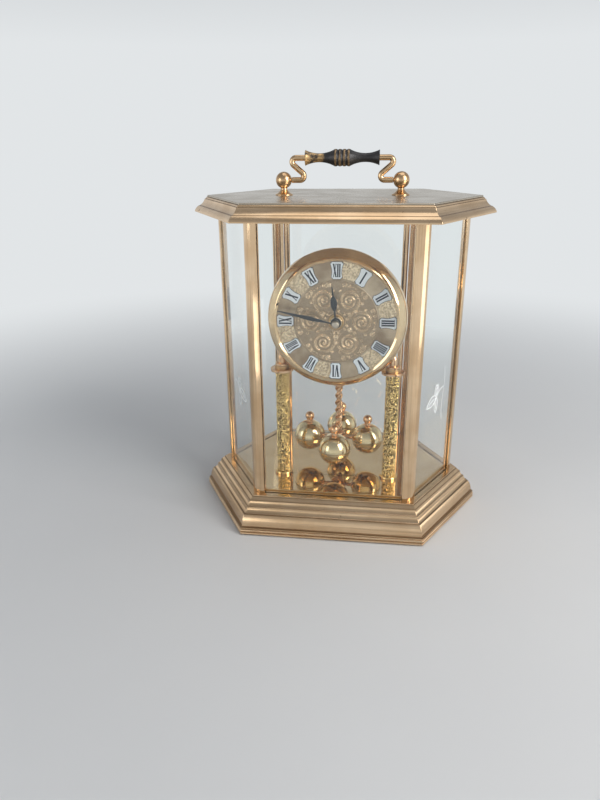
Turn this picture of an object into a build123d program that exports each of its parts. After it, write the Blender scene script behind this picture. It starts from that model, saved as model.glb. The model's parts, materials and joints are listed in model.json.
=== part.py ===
"""Mantel clock in a six-sided brass and glass case, with a turning pendulum of four balls.

Millimetres. +Z is up, the front faces -Y, and the origin is the middle of the underside.
"""
import os
from math import cos, pi, radians, sin, sqrt, tan

from build123d import *

os.makedirs("parts", exist_ok=True)

# Plan of the case: a hexagon through the outer corners of the six posts, every corner 120 degrees
front_half = 49.0           # half the width of the front, corner to middle
side_length = 58.2          # each of the four angled sides
corner_angle = 120.0

# Clearances
fit_clearance = 0.1         # between pieces that are fastened together
running_clearance = 0.05    # round a pin or shaft that turns
swing_clearance = 0.5       # beside a piece that swings

# Base moulding, from the table upwards
foot_gap = 0.5              # the moulding hangs this far above the table, the felt carries it
base_projection = 14.6      # the lowest beads stand this far outside the posts
bead_height = 1.6
groove_height = 0.45
groove_depth = 1.0
lip_height = 0.8
lip_setback = 0.4
ovolo_setback = 1.6
ovolo_run = 2.2
ovolo_height = 7.8
ovolo_radius = 14.0
step_run = 0.6
cove_run = 2.2
cove_height = 3.7
cove_radius = 4.5
ledge_run = 0.8
ledge_rise = 0.5
upper_cove_run = 1.6
upper_cove_height = 3.1
band_step = 0.4
band_run = 1.8
band_height = 1.9
rim_height = 0.6
deck_thickness = 2.0
deck_width = 9.0            # the flat top of the moulding, from its outer rim inwards
board_wall = 5.0            # moulding wall outside the lower part of the board
board_shoulder = 12.0       # height where the board steps in
upper_wall = 0.9            # the board's upper part stands this far inside the moulding's rim
felt_thickness = 1.5
floor_thickness = 1.0
floor_setback = 5.0         # the floor plate ends this far inside the posts

# Posts and glass
post_length = 170.0
post_leg = 5.3
post_round = 6.0            # the strip's fold, seen from above
strip_thickness = 0.9
inner_leg = 4.2
glass_thickness = 2.0
pane_corner_gap = 2.0       # a pane ends this far from the corner where two panes would meet
groove_in_deck = 1.2
tenon_radius = 1.5
tenon_length = 4.0

# Cap moulding, from its lower edge upwards
cap_projection = 12.06
cap_lip_height = 0.6
cap_ovolo_run = 2.5
cap_ovolo_height = 3.2
cap_ovolo_radius = 6.0
cap_step = 0.4
cap_cove_run = 3.0
cap_cove_height = 4.0
cap_cove_radius = 7.0
cap_rim_run = 0.6
cap_rim_height = 0.5
cap_chamfer = 0.6
cap_plate_thickness = 1.0
cap_plate_setback = 0.3
cap_wall = 1.5              # moulding wall at its upper edge, outside the cap board
soffit_thickness = 2.0
soffit_width = 18.0

# Handle
ball_spread = 35.2          # each ball post from the middle
ball_radius = 4.85
ball_height = 8.6           # ball centre above the cap
collar_radius = 5.3
collar_lip = 0.5
collar_height = 3.3
collar_curve_radius = 6.5
neck_radius = 2.0
stud_radius = 1.5
nut_radius = 3.4
nut_height = 2.4
nut_sides = 6
rod_radius = 1.7
bail_pin_radius = 1.1
bail_pin_length = 4.0
rod_reach = 10.0            # from the ball centre to the start of the lower bend
rod_bend_radius = 2.25
rod_slope = 40.0            # of the straight between the two bends
rod_slope_length = 7.1
grip_gap = 3.2              # from the start of the lower bend to the end of the grip
grip_socket = 3.0
bead_pairs = 2
bead_width = 2.6
bead_radius = 4.9
bead_groove_radius = 4.4
waist_radius = 2.5
flare_radius = 4.4

# Columns
column_gap = 2.7            # movement to the finial nuts beside it
front_room = 29.9           # from the middle of the columns to the front of the posts
column_radius = 4.3
column_foot_radius = 5.9
column_foot_height = 2.0
column_foot_round = 0.8
capital_radius = 7.35
capital_height = 1.6
washer_radius = 4.3
washer_height = 1.5
tie_rod_radius = 1.95
tie_rod_tail = 3.4
tie_nut_radius = 3.6
tie_nut_height = 3.2
finial_radius = 2.5
finial_shank = 2.6
finial_height = 8.6
finial_tip_radius = 0.2
finial_bore_depth = 4.0

# Bridge across the columns
bridge_thickness = 2.0
bridge_ear_radius = 4.6
bridge_margin = 0.5         # front edge, in front of the middle of the columns
bridge_back = 10.0          # back edge, behind the middle
bridge_shoulder = 1.2       # end of the straight part, inside the middle of each column

# Bezel and dial
bezel_radius = 42.4
bezel_depth = 8.5           # back edge, behind the dial's face
bezel_lip = 1.6             # front edge, in front of the dial's face
bezel_face = 6.4            # from the opening to the outer edge
bezel_inner_ring = 1.3
bezel_curve_radius = 10.0
bezel_back_edge = 1.2
bezel_gap = 1.5             # bezel to the finials behind it
bezel_over_capital = 2.2
bezel_head_room = 17.6      # top of the bezel to the cap above it
dial_seat = 4.0             # from the dial's edge to the bezel's outer edge
dial_thickness = 0.8
field_gap = 0.4             # centre field to the plaques round it
field_border = 0.6
field_rise = 0.3

# Numeral plaques
numeral_count = 12
plaque_margin = 0.2         # plaques to the bezel's opening
plaque_length = 10.3
plaque_outer_half = 4.1
plaque_inner_half = 3.4
plaque_waist_half = 3.05
plaque_notch = 0.9
plaque_thickness = 0.5

# Movement
housing_radius = 30.0
housing_wall = 1.6
housing_back = 9.0          # behind the pendulum's axis
bush_radius = 3.8
bush_reach = 2.8            # in front of the dial's back face
dial_nut_radius = 4.6
dial_nut_height = 1.3
dial_nut_chamfer = 0.4
cover_thickness = 2.0
pillar_radius = 2.0
pillar_circle = 22.0
pillar_count = 3
pillar_turn = 270.0
motion_space = 8.6          # clear depth for the wheels under the dial
train_plate_thickness = 1.6
gear_box_size = 14.0
gear_box_height = 6.0
motor_stand = 4.4
core_thickness = 1.0
core_leg = 2.4
core_length = 34.0
core_drop = 9.0             # coil leg, below the hands' axis
core_pad = 7.0
coil_radius = 3.5
coil_length = 16.0
board_width = 40.0
board_height = 14.0
board_thickness = 1.4
board_drop = 20.5           # middle of the circuit board, below the hands' axis
drive_coil_radius = 4.5
drive_coil_gap = 3.0        # coil to the pendulum's magnet
drive_coil_bore = 1.5

# Battery, a common round cell
cell_radius = 7.25
cell_length = 49.5
cell_nub_radius = 2.6
cell_nub_length = 1.0
cell_round = 1.0
cell_drop = 13.0            # below the hands' axis
cradle_wall = 1.4
cradle_depth = 13.0
contact_thickness = 0.4
contact_width = 8.0

# Motion work: the two wheel pairs share one distance between their axes
wheel_distance = 9.0
cannon_teeth = 12
minute_wheel_teeth = 36
minute_pinion_teeth = 10
hour_wheel_teeth = 40
tooth_above_pitch = 0.75    # in modules
tooth_below_pitch = 1.15
tooth_root_share = 0.29     # half widths, in pitches
tooth_tip_share = 0.10
wheel_gap = 0.4
hour_wheel_thickness = 1.0
minute_wheel_thickness = 1.4
cannon_length = 2.0
arbor_radius = 1.0
arbor_tail = 1.2            # pivot length in the train plate
hour_pipe_radius = 2.1
setting_arbor_radius = 0.9
setting_pivot_length = 1.0
knob_radius = 4.6
knob_height = 4.0
knob_flutes = 18
knob_flute_radius = 0.45

# Hands, at thirteen minutes to twelve
minute_angle = 282.0
hour_angle = 353.5
hand_thickness = 0.5
minute_length = 35.2
minute_half_width = 1.25
minute_shoulder = 14.5
minute_neck_half = 0.45
minute_neck_end = 5.5
minute_collet_radius = 2.4
hour_length = 21.9
hour_half_width = 1.95
hour_belly = 11.8
hour_neck_half = 0.5
hour_neck_end = 7.4
hour_beak = 16.2
hour_collet_radius = 3.1
hand_tip_half = 0.25
pipe_reach = 2.0            # hour pipe in front of the bush
collet_height = 1.4
hand_gap = 0.6
hand_nut_radius = 2.2
hand_nut_height = 2.4
hand_nut_flat = 0.5
hand_screw_radius = 0.8

# Pendulum
pendulum_count = 4
pendulum_turn = -3.3
pendulum_lift = 8.2         # balls above the floor plate
pendulum_ball_radius = 10.5
pendulum_circle = 20.0
seam_height = 0.5
seam_rise = 0.12
ball_neck_radius = 2.2
ball_knob_radius = 3.1
ball_knob_height = 14.2     # knob centre above the ball centre
arm_radius = 1.3
arm_socket = 2.5
hub_radius = 4.4
hub_height = 8.0
hub_round = 1.4
twist_radius = 2.6
twist_lobes = 2
twist_lobe_radius = 1.45
twist_pitch = 10.5
stem_neck = 17.8            # plain upper part of the stem, under the bridge
flange_radius = 3.6
flange_height = 1.2
stem_radius = 1.6
pivot_radius = 1.2
collar_gap = 0.05
magnet_radius = 5.0
magnet_height = 4.0
magnet_collar_radius = 3.0
magnet_collar_height = 5.6
magnet_hole_clearance = 0.8

# Rear door
stile_radius = 2.2
stile_web = 0.5             # glass edge to the stile's axis
door_pin_radius = 1.0
door_pin_depth = 1.5
door_knob_radius = 2.6
door_knob_height = 2.4
door_knob_round = 1.0
door_knob_neck = 1.1
door_knob_neck_length = 1.0

# Places worked out from the sizes above
half_corner = radians(corner_angle / 2)
half_depth = side_length * sin(radians(180 - corner_angle))
side_reach = front_half + side_length * cos(radians(180 - corner_angle))
glass_offset = -(strip_thickness + fit_clearance + glass_thickness / 2)
corner_names = ["front_left", "front_right", "right", "back_right", "back_left", "left"]
corner_bearings = [-120, -60, 0, 60, 120, 180]
side_names = ["front", "front_right", "back_right", "back", "back_left", "front_left"]
side_bearings = [-90, -30, 30, 90, 150, 210]
door_side = side_names.index("back")
glazed_sides = [index for index in range(len(side_names)) if index != door_side]


def hexagon(offset):
    """Corners of the case's plan, moved outwards by an offset."""
    front_x = front_half + offset / tan(half_corner)
    front_y = half_depth + offset
    side_x = side_reach + offset / sin(half_corner)
    return [
        (-front_x, -front_y),
        (front_x, -front_y),
        (side_x, 0),
        (front_x, front_y),
        (-front_x, front_y),
        (-side_x, 0),
    ]


def corner_plane(index, offset, height):
    """Level plane at a corner, its x axis pointing straight out of the case."""
    bearing = radians(corner_bearings[index])
    x, y = hexagon(offset)[index]
    return Plane(origin=(x, y, height), x_dir=(cos(bearing), sin(bearing), 0), z_dir=(0, 0, 1))


def side_plane(index, offset, height):
    """Level plane at the middle of a side, its y axis pointing straight out of the case."""
    bearing = radians(side_bearings[index] - 90)
    corners = hexagon(offset)
    start = corners[index]
    end = corners[(index + 1) % len(side_names)]
    middle = ((start[0] + end[0]) / 2, (start[1] + end[1]) / 2, height)
    return Plane(origin=middle, x_dir=(cos(bearing), sin(bearing), 0), z_dir=(0, 0, 1))


def side_width(index, offset):
    """Length of a side of the plan, moved outwards by an offset."""
    corners = hexagon(offset)
    start = Vector(*corners[index])
    end = Vector(*corners[(index + 1) % len(side_names)])
    return (end - start).length


def go(line, run, rise):
    """A straight line from the end of another, inwards by run and upwards by rise."""
    start = line @ 1
    return Line(start, start + Vector(-run, rise))


def write(piece, name):
    """Label a finished piece and write its file."""
    piece.part.label = name
    export_step(piece.part, f"parts/{name}.step")


# Heights of the base, floor, columns and cap
base_height = foot_gap + 2 * (bead_height + groove_height) + lip_height + ovolo_height
base_height += cove_height + ledge_rise + upper_cove_height + band_height + rim_height
rim_offset = base_projection - ovolo_setback - ovolo_run - step_run - cove_run - ledge_run
rim_offset -= upper_cove_run + 2 * band_step + band_run
deck_underside = base_height - deck_thickness
deck_inner = rim_offset - deck_width
board_lower_offset = base_projection - board_wall
board_upper_offset = rim_offset - upper_wall
floor_top = base_height + floor_thickness
soffit_height = base_height + post_length
cap_top = soffit_height + cap_lip_height + cap_ovolo_height + cap_cove_height
cap_top += cap_rim_height + cap_chamfer
cap_rim_offset = cap_projection - cap_ovolo_run - cap_step - cap_cove_run - cap_rim_run - cap_chamfer
cap_board_offset = cap_rim_offset - cap_wall
cap_board_bottom = soffit_height + soffit_thickness
cap_face = cap_top + cap_plate_thickness
tenon_spots = hexagon(glass_offset)
cradle_length = cell_length + cell_nub_length + 2 * (contact_thickness + fit_clearance)
column_spread = housing_radius + column_gap + finial_radius
column_setback = half_depth - front_room
column_spots = [(-column_spread, -column_setback), (column_spread, -column_setback)]
ball_spots = [(-ball_spread, 0), (ball_spread, 0)]
column_bottom = floor_top + column_foot_height
bezel_opening = bezel_radius - bezel_face
dial_radius = bezel_radius - dial_seat
plaque_outer = bezel_opening - plaque_margin
plaque_inner = plaque_outer - plaque_length
field_radius = plaque_inner - field_gap
bezel_rise = sqrt(bezel_radius**2 - (column_spread - capital_radius) ** 2)
capital_bottom = soffit_height - bezel_head_room - bezel_radius - bezel_rise
capital_bottom -= bezel_over_capital + capital_height
bridge_bottom = capital_bottom + capital_height
bridge_top = bridge_bottom + bridge_thickness
bridge_front = column_setback + bridge_margin
bridge_half_width = column_spread - bridge_shoulder
tie_nut_top = felt_thickness + tie_rod_tail + tie_nut_height

# Rear door: its hinge axis lies in the glass plane, just inside the back left post
door_y = half_depth + glass_offset
stile_x = front_half - post_leg - swing_clearance - stile_radius
door_bottom = base_height + swing_clearance
door_top = soffit_height - swing_clearance

# Dial's face and axis: the bezel stands in front of the finials and over the capitals
dial_y = -(column_setback + finial_radius + bezel_gap + bezel_depth)
dial_z = bridge_bottom + bezel_over_capital + bezel_rise
hand_axis = Axis((0, dial_y, dial_z), (0, 1, 0))
dial_section = Plane(origin=(0, dial_y, dial_z), x_dir=(1, 0, 0), z_dir=(0, 0, 1))


def facing(y, turn=0):
    """Upright plane at depth y on the hands' axis, seen from the front and turned clockwise."""
    level = Vector(cos(radians(turn)), 0, -sin(radians(turn)))
    return Plane(origin=(0, y, dial_z), x_dir=level, z_dir=(0, -1, 0))


# Base moulding: one profile swept round the hexagon with mitred corners
with BuildPart() as base_moulding:
    with BuildLine():
        Polyline((0, -half_depth), *hexagon(0)[1:], hexagon(0)[0], close=True)
    with BuildSketch(Plane(origin=(0, -half_depth, 0), x_dir=(0, -1, 0), z_dir=(-1, 0, 0))):
        with BuildLine():
            inner_foot = (board_lower_offset + fit_clearance, foot_gap)
            low = Line(inner_foot, (base_projection - groove_depth, foot_gap))
            bead = low
            for _ in range(2):
                start = bead @ 1
                round_side = start + Vector(groove_depth, bead_height / 2)
                bead_arc = ThreePointArc(start, round_side, start + Vector(0, bead_height))
                bead = go(bead_arc, 0, groove_height)
            lip_out = go(bead, -(groove_depth - lip_setback), 0)
            lip = go(lip_out, 0, lip_height)
            lip_in = go(lip, ovolo_setback - lip_setback, 0)
            ovolo_end = lip_in @ 1 + Vector(-ovolo_run, ovolo_height)
            ovolo = RadiusArc(lip_in @ 1, ovolo_end, -ovolo_radius)
            step = go(ovolo, step_run, 0)
            cove_end = step @ 1 + Vector(-cove_run, cove_height)
            cove = RadiusArc(step @ 1, cove_end, cove_radius)
            ledge = go(cove, ledge_run, ledge_rise)
            upper_end = ledge @ 1 + Vector(-upper_cove_run, upper_cove_height)
            upper_cove = RadiusArc(ledge @ 1, upper_end, cove_radius)
            band_in = go(upper_cove, band_step, 0)
            band = go(band_in, band_run, band_height)
            rim_in = go(band, band_step, 0)
            rim = go(rim_in, 0, rim_height)
            deck = Line(rim @ 1, (deck_inner, base_height))
            deck_edge = Line(deck @ 1, (deck_inner, deck_underside))
            Polyline(
                deck_edge @ 1,
                (board_upper_offset + fit_clearance, deck_underside),
                (board_upper_offset + fit_clearance, board_shoulder),
                (board_lower_offset + fit_clearance, board_shoulder),
                inner_foot,
            )
        make_face()
    sweep(transition=Transition.RIGHT)
    for index in glazed_sides:
        with BuildSketch(side_plane(index, glass_offset, base_height)):
            length = side_width(index, glass_offset) - 2 * pane_corner_gap + 2 * fit_clearance
            Rectangle(length, glass_thickness + 2 * fit_clearance)
        extrude(amount=-groove_in_deck, mode=Mode.SUBTRACT)
    with BuildSketch(Plane.XY.offset(base_height)):
        with Locations(*tenon_spots):
            Circle(tenon_radius + fit_clearance)
    extrude(amount=-deck_thickness, mode=Mode.SUBTRACT)
    with BuildSketch(Plane.XY.offset(base_height)):
        with Locations((-stile_x, door_y)):
            Circle(door_pin_radius + running_clearance)
    extrude(amount=-(door_pin_depth + fit_clearance), mode=Mode.SUBTRACT)
write(base_moulding, "base_moulding")

# Base board: a wooden core that steps in under the moulding, with holes for tenons and tie rods
with BuildPart() as base_board:
    with BuildSketch(Plane.XY.offset(felt_thickness)):
        Polygon(*hexagon(board_lower_offset), align=None)
    extrude(amount=board_shoulder - fit_clearance - felt_thickness)
    with BuildSketch(Plane.XY.offset(felt_thickness)):
        Polygon(*hexagon(board_upper_offset), align=None)
    extrude(amount=deck_underside - felt_thickness)
    with BuildSketch(Plane.XY.offset(felt_thickness)):
        Polygon(*hexagon(deck_inner - fit_clearance), align=None)
    extrude(amount=base_height - felt_thickness)
    with BuildSketch(Plane.XY.offset(deck_underside)):
        with Locations(*tenon_spots):
            Circle(tenon_radius + fit_clearance)
    extrude(amount=-(tenon_length - deck_thickness + fit_clearance), mode=Mode.SUBTRACT)
    with BuildSketch(Plane.XY.offset(felt_thickness)):
        with Locations(*column_spots):
            Circle(tie_rod_radius + fit_clearance)
    extrude(amount=base_height - felt_thickness, mode=Mode.SUBTRACT)
    with BuildSketch(Plane.XY.offset(felt_thickness)):
        with Locations(*column_spots):
            Circle(tie_nut_radius + swing_clearance)
    extrude(amount=tie_nut_top - felt_thickness, mode=Mode.SUBTRACT)
write(base_board, "base_board")

# Felt under the board
with BuildPart() as base_felt:
    with BuildSketch():
        Polygon(*hexagon(board_lower_offset), align=None)
    extrude(amount=felt_thickness)
write(base_felt, "base_felt")

# Polished floor plate, lying on the board and on the inner edge of the moulding
with BuildPart() as floor_plate:
    with BuildSketch(Plane.XY.offset(base_height)):
        Polygon(*hexagon(-floor_setback), align=None)
        with Locations(*column_spots):
            Circle(tie_rod_radius + fit_clearance, mode=Mode.SUBTRACT)
    extrude(amount=floor_thickness)
write(floor_plate, "floor_plate")


def strip_half(outer, inner, leg, side):
    """One leg of an angle strip between two offsets, seen from a corner; side is 1 or -1."""
    along = Vector(-cos(half_corner), side * sin(half_corner))
    inwards = Vector(-sin(half_corner), -side * cos(half_corner))
    outer_corner = Vector(outer / sin(half_corner), 0)
    inner_corner = Vector(inner / sin(half_corner), 0)
    outer_end = outer_corner + along * leg
    return [outer_corner, outer_end, outer_end + inwards * (outer - inner), inner_corner]


# Corner posts: a strip bent round the corner, short legs inside the glass and a core between
inner_strip = -(strip_thickness + glass_thickness + 2 * fit_clearance)
for index, name in enumerate(corner_names):
    with BuildPart() as post:
        with BuildSketch(corner_plane(index, 0, base_height)) as section:
            for side, pane in ((1, index), (-1, (index - 1) % len(side_names))):
                Polygon(*strip_half(0, -strip_thickness, post_leg, side), align=None)
                if pane in glazed_sides:
                    inner_face = inner_strip - strip_thickness
                    Polygon(*strip_half(inner_strip, inner_face, inner_leg, side), align=None)
            with Locations((glass_offset / sin(half_corner), 0)):
                Circle(pane_corner_gap - fit_clearance)
            fillet(section.vertices().sort_by(Axis.X)[-1], radius=post_round)
        extrude(amount=post_length)
        with BuildSketch(corner_plane(index, glass_offset, base_height - tenon_length)):
            Circle(tenon_radius)
        extrude(amount=post_length + 2 * tenon_length)
    write(post, f"post_{name}")

# Fixed panes: each stands in a groove of the base and reaches into one of the cap
for index in glazed_sides:
    with BuildPart() as pane:
        with BuildSketch(side_plane(index, glass_offset, base_height - groove_in_deck)):
            Rectangle(side_width(index, glass_offset) - 2 * pane_corner_gap, glass_thickness)
        extrude(amount=post_length + 2 * groove_in_deck - fit_clearance)
    write(pane, f"pane_{side_names[index]}")

# Cap moulding: a flared profile swept round the hexagon, with a soffit that rests on the posts
with BuildPart() as cap_moulding:
    with BuildLine():
        Polyline((0, -half_depth), *hexagon(0)[1:], hexagon(0)[0], close=True)
    with BuildSketch(Plane(origin=(0, -half_depth, 0), x_dir=(0, -1, 0), z_dir=(-1, 0, 0))):
        with BuildLine():
            soffit_inner = cap_projection - soffit_width
            soffit = Line((soffit_inner, soffit_height), (cap_projection, soffit_height))
            cap_lip = go(soffit, 0, cap_lip_height)
            ovolo_end = cap_lip @ 1 + Vector(-cap_ovolo_run, cap_ovolo_height)
            cap_ovolo = RadiusArc(cap_lip @ 1, ovolo_end, -cap_ovolo_radius)
            cap_ledge = go(cap_ovolo, cap_step, 0)
            cove_end = cap_ledge @ 1 + Vector(-cap_cove_run, cap_cove_height)
            cap_cove = RadiusArc(cap_ledge @ 1, cove_end, cap_cove_radius)
            cap_rim_in = go(cap_cove, cap_rim_run, 0)
            cap_rim = go(cap_rim_in, 0, cap_rim_height)
            cap_edge = go(cap_rim, cap_chamfer, cap_chamfer)
            Polyline(
                cap_edge @ 1,
                (cap_board_offset + fit_clearance, cap_top),
                (cap_board_offset + fit_clearance, cap_board_bottom),
                (soffit_inner, cap_board_bottom),
                soffit @ 0,
            )
        make_face()
    sweep(transition=Transition.RIGHT)
    for index in glazed_sides:
        with BuildSketch(side_plane(index, glass_offset, soffit_height)):
            length = side_width(index, glass_offset) - 2 * pane_corner_gap + 2 * fit_clearance
            Rectangle(length, glass_thickness + 2 * fit_clearance)
        extrude(amount=groove_in_deck, mode=Mode.SUBTRACT)
    with BuildSketch(Plane.XY.offset(soffit_height)):
        with Locations(*tenon_spots):
            Circle(tenon_radius + fit_clearance)
    extrude(amount=soffit_thickness, mode=Mode.SUBTRACT)
    with BuildSketch(Plane.XY.offset(soffit_height)):
        with Locations((-stile_x, door_y)):
            Circle(door_pin_radius + running_clearance)
    extrude(amount=door_pin_depth + fit_clearance, mode=Mode.SUBTRACT)
write(cap_moulding, "cap_moulding")

# Cap board: fills the cap and carries the handle's nuts in counterbores below
with BuildPart() as cap_board:
    with BuildSketch(Plane.XY.offset(cap_board_bottom)):
        Polygon(*hexagon(cap_board_offset), align=None)
        with Locations(*ball_spots):
            Circle(stud_radius + fit_clearance, mode=Mode.SUBTRACT)
    extrude(amount=cap_top - cap_board_bottom)
    with BuildSketch(Plane.XY.offset(cap_board_bottom)):
        with Locations(*tenon_spots):
            Circle(tenon_radius + fit_clearance)
    extrude(amount=tenon_length - soffit_thickness + fit_clearance, mode=Mode.SUBTRACT)
    with BuildSketch(Plane.XY.offset(cap_board_bottom)):
        with Locations(*ball_spots):
            Circle(nut_radius + swing_clearance)
    extrude(amount=nut_height + swing_clearance, mode=Mode.SUBTRACT)
write(cap_board, "cap_board")

# Cap plate: the flat top, its upper edge eased
with BuildPart() as cap_plate:
    with BuildSketch(Plane.XY.offset(cap_top)):
        Polygon(*hexagon(cap_rim_offset - cap_plate_setback), align=None)
        with Locations(*ball_spots):
            Circle(stud_radius + fit_clearance, mode=Mode.SUBTRACT)
    extrude(amount=cap_plate_thickness)
    outer_edges = cap_plate.edges().group_by(Axis.Z)[-1].filter_by(GeomType.LINE)
    fillet(outer_edges, radius=cap_plate_thickness / 2)
write(cap_plate, "cap_plate")

# Ball posts of the handle: a flared collar, a neck and a ball, on a stud that a nut draws down
ball_z = cap_face + ball_height
nut_top = cap_board_bottom + nut_height + swing_clearance
for side, name in ((-1, "left"), (1, "right")):
    with BuildPart() as handle_post:
        with BuildSketch(Plane(origin=(side * ball_spread, 0, 0), x_dir=(1, 0, 0), z_dir=(0, -1, 0))):
            with BuildLine():
                stud_bottom = nut_top - nut_height
                foot = Line((0, stud_bottom), (stud_radius, stud_bottom))
                stud = Line(foot @ 1, (stud_radius, cap_face))
                seat = Line(stud @ 1, (collar_radius, cap_face))
                neck_top = ball_z - sqrt(ball_radius**2 - neck_radius**2)
                lip = Line(seat @ 1, (collar_radius, cap_face + collar_lip))
                flare = RadiusArc(lip @ 1, (neck_radius, cap_face + collar_height), collar_curve_radius)
                neck = Line(flare @ 1, (neck_radius, neck_top))
                ThreePointArc(neck @ 1, (ball_radius, ball_z), (0, ball_z + ball_radius))
                Line((0, ball_z + ball_radius), foot @ 0)
            make_face()
        revolve(axis=Axis((side * ball_spread, 0, 0), (0, 0, 1)))
        inner_face = Plane(origin=(side * (ball_spread - ball_radius), 0, ball_z), z_dir=(side, 0, 0))
        with BuildSketch(inner_face):
            Circle(bail_pin_radius + running_clearance)
        extrude(amount=bail_pin_length + fit_clearance, mode=Mode.SUBTRACT)
    write(handle_post, f"handle_post_{name}")

with BuildPart() as handle_post_nuts:
    with BuildSketch(Plane.XY.offset(nut_top)):
        with Locations(*ball_spots):
            RegularPolygon(nut_radius, nut_sides)
            Circle(stud_radius + fit_clearance, mode=Mode.SUBTRACT)
    extrude(amount=-nut_height)
write(handle_post_nuts, "handle_post_nuts")

# Bail: each rod turns in its ball on a thin pin and bends back and forth on its way into the grip
bend_x = ball_spread - rod_reach
grip_half = bend_x - grip_gap
bend_turn = 180 - rod_slope
bend_rise = rod_bend_radius * (1 + cos(radians(rod_slope)))
grip_z = ball_z + 2 * bend_rise + rod_slope_length * sin(radians(rod_slope))
rod_start = ball_spread - ball_radius - fit_clearance
for side, name in ((-1, "left"), (1, "right")):
    with BuildPart() as bail_rod:
        with BuildLine(Plane.XZ):
            reach = Line((side * rod_start, ball_z), (side * bend_x, ball_z))
            lower = JernArc(reach @ 1, reach % 1, rod_bend_radius, -side * bend_turn)
            slope = Line(lower @ 1, lower @ 1 + (lower % 1) * rod_slope_length)
            upper = JernArc(slope @ 1, slope % 1, rod_bend_radius, side * bend_turn)
            Line(upper @ 1, (side * (grip_half - grip_socket), grip_z))
        with BuildSketch(Plane(origin=(side * rod_start, 0, ball_z), z_dir=(-side, 0, 0))):
            Circle(rod_radius)
        sweep()
        pin_tip = ball_spread - ball_radius + bail_pin_length
        with BuildSketch(Plane(origin=(side * pin_tip, 0, ball_z), z_dir=(-side, 0, 0))):
            Circle(bail_pin_radius)
        extrude(amount=pin_tip - rod_start + rod_radius)
    write(bail_rod, f"bail_rod_{name}")

# Grip: a row of turned beads in the middle, slender waists and flared ends, bored for the rods
with BuildPart() as bail_grip:
    with BuildSketch(Plane(origin=(0, 0, grip_z), x_dir=(1, 0, 0), z_dir=(0, -1, 0))):
        with BuildLine():
            for bead in range(bead_pairs):
                groove = (bead * bead_width, bead_groove_radius)
                crest = ((bead + 0.5) * bead_width, bead_radius)
                next_groove = ((bead + 1) * bead_width, bead_groove_radius)
                ThreePointArc(groove, crest, next_groove)
            beads_end = bead_pairs * bead_width
            waist_middle = ((beads_end + grip_half) / 2, waist_radius)
            waist = ThreePointArc((beads_end, bead_groove_radius), waist_middle, (grip_half, flare_radius))
            end_face = Line(waist @ 1, (grip_half, rod_radius + fit_clearance))
            bore_end = grip_half - grip_socket - fit_clearance
            bore = Line(end_face @ 1, (bore_end, rod_radius + fit_clearance))
            bore_floor = Line(bore @ 1, (bore_end, 0))
            core = Line(bore_floor @ 1, (0, 0))
            Line(core @ 1, (0, bead_groove_radius))
        make_face()
        mirror(about=Plane.YZ)
    revolve(axis=Axis((0, 0, grip_z), (1, 0, 0)))
write(bail_grip, "bail_grip")

# Columns: tubes over tie rods, each on a turned foot and under a wide flat capital
for spot, name in zip(column_spots, ("left", "right")):
    with BuildPart() as column:
        with BuildSketch(Plane.XY.offset(column_bottom)):
            with Locations(spot):
                Circle(column_radius)
                Circle(tie_rod_radius + fit_clearance, mode=Mode.SUBTRACT)
        extrude(amount=capital_bottom - column_bottom)
    write(column, f"column_{name}")

with BuildPart() as column_feet:
    with BuildSketch(Plane.XY.offset(floor_top)):
        with Locations(*column_spots):
            Circle(column_foot_radius)
            Circle(tie_rod_radius + fit_clearance, mode=Mode.SUBTRACT)
    extrude(amount=column_foot_height)
    upper_edges = column_feet.edges().group_by(Axis.Z)[-1]
    fillet(upper_edges.group_by(SortBy.RADIUS)[-1], column_foot_round)
write(column_feet, "column_feet")

with BuildPart() as column_capitals:
    for height, radius, thickness in (
        (capital_bottom, capital_radius, capital_height),
        (bridge_top, washer_radius, washer_height),
    ):
        with BuildSketch(Plane.XY.offset(height)):
            with Locations(*column_spots):
                Circle(radius)
                Circle(tie_rod_radius + fit_clearance, mode=Mode.SUBTRACT)
        extrude(amount=thickness)
write(column_capitals, "column_capitals")

washer_top = bridge_top + washer_height
with BuildPart() as tie_rods:
    with BuildSketch(Plane.XY.offset(felt_thickness + tie_rod_tail / 2)):
        with Locations(*column_spots):
            Circle(tie_rod_radius)
    extrude(amount=washer_top + finial_bore_depth - felt_thickness - tie_rod_tail / 2)
write(tie_rods, "tie_rods")

with BuildPart() as tie_rod_nuts:
    with BuildSketch(Plane.XY.offset(tie_nut_top)):
        with Locations(*column_spots):
            RegularPolygon(tie_nut_radius, nut_sides)
            Circle(tie_rod_radius + fit_clearance, mode=Mode.SUBTRACT)
    extrude(amount=-tie_nut_height)
write(tie_rod_nuts, "tie_rod_nuts")

# Finial nuts: a round shank that draws in to a point
with BuildPart() as finial_nuts:
    with BuildSketch(Plane(origin=(*column_spots[1], washer_top), x_dir=(1, 0, 0), z_dir=(0, -1, 0))):
        with BuildLine():
            bore_radius = tie_rod_radius + fit_clearance
            base = Line((bore_radius, 0), (finial_radius, 0))
            shank = Line(base @ 1, (finial_radius, finial_shank))
            shoulder = (finial_radius, (finial_shank + finial_height) / 2)
            tip = Bezier(shank @ 1, shoulder, (finial_tip_radius, finial_height))
            tip_flat = Line(tip @ 1, (0, finial_height))
            bore_top = finial_bore_depth + fit_clearance
            core = Line(tip_flat @ 1, (0, bore_top))
            bore_floor = Line(core @ 1, (bore_radius, bore_top))
            Line(bore_floor @ 1, base @ 0)
        make_face()
    revolve(axis=Axis((*column_spots[1], 0), (0, 0, 1)))
    mirror(about=Plane.YZ)
write(finial_nuts, "finial_nuts")

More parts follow.
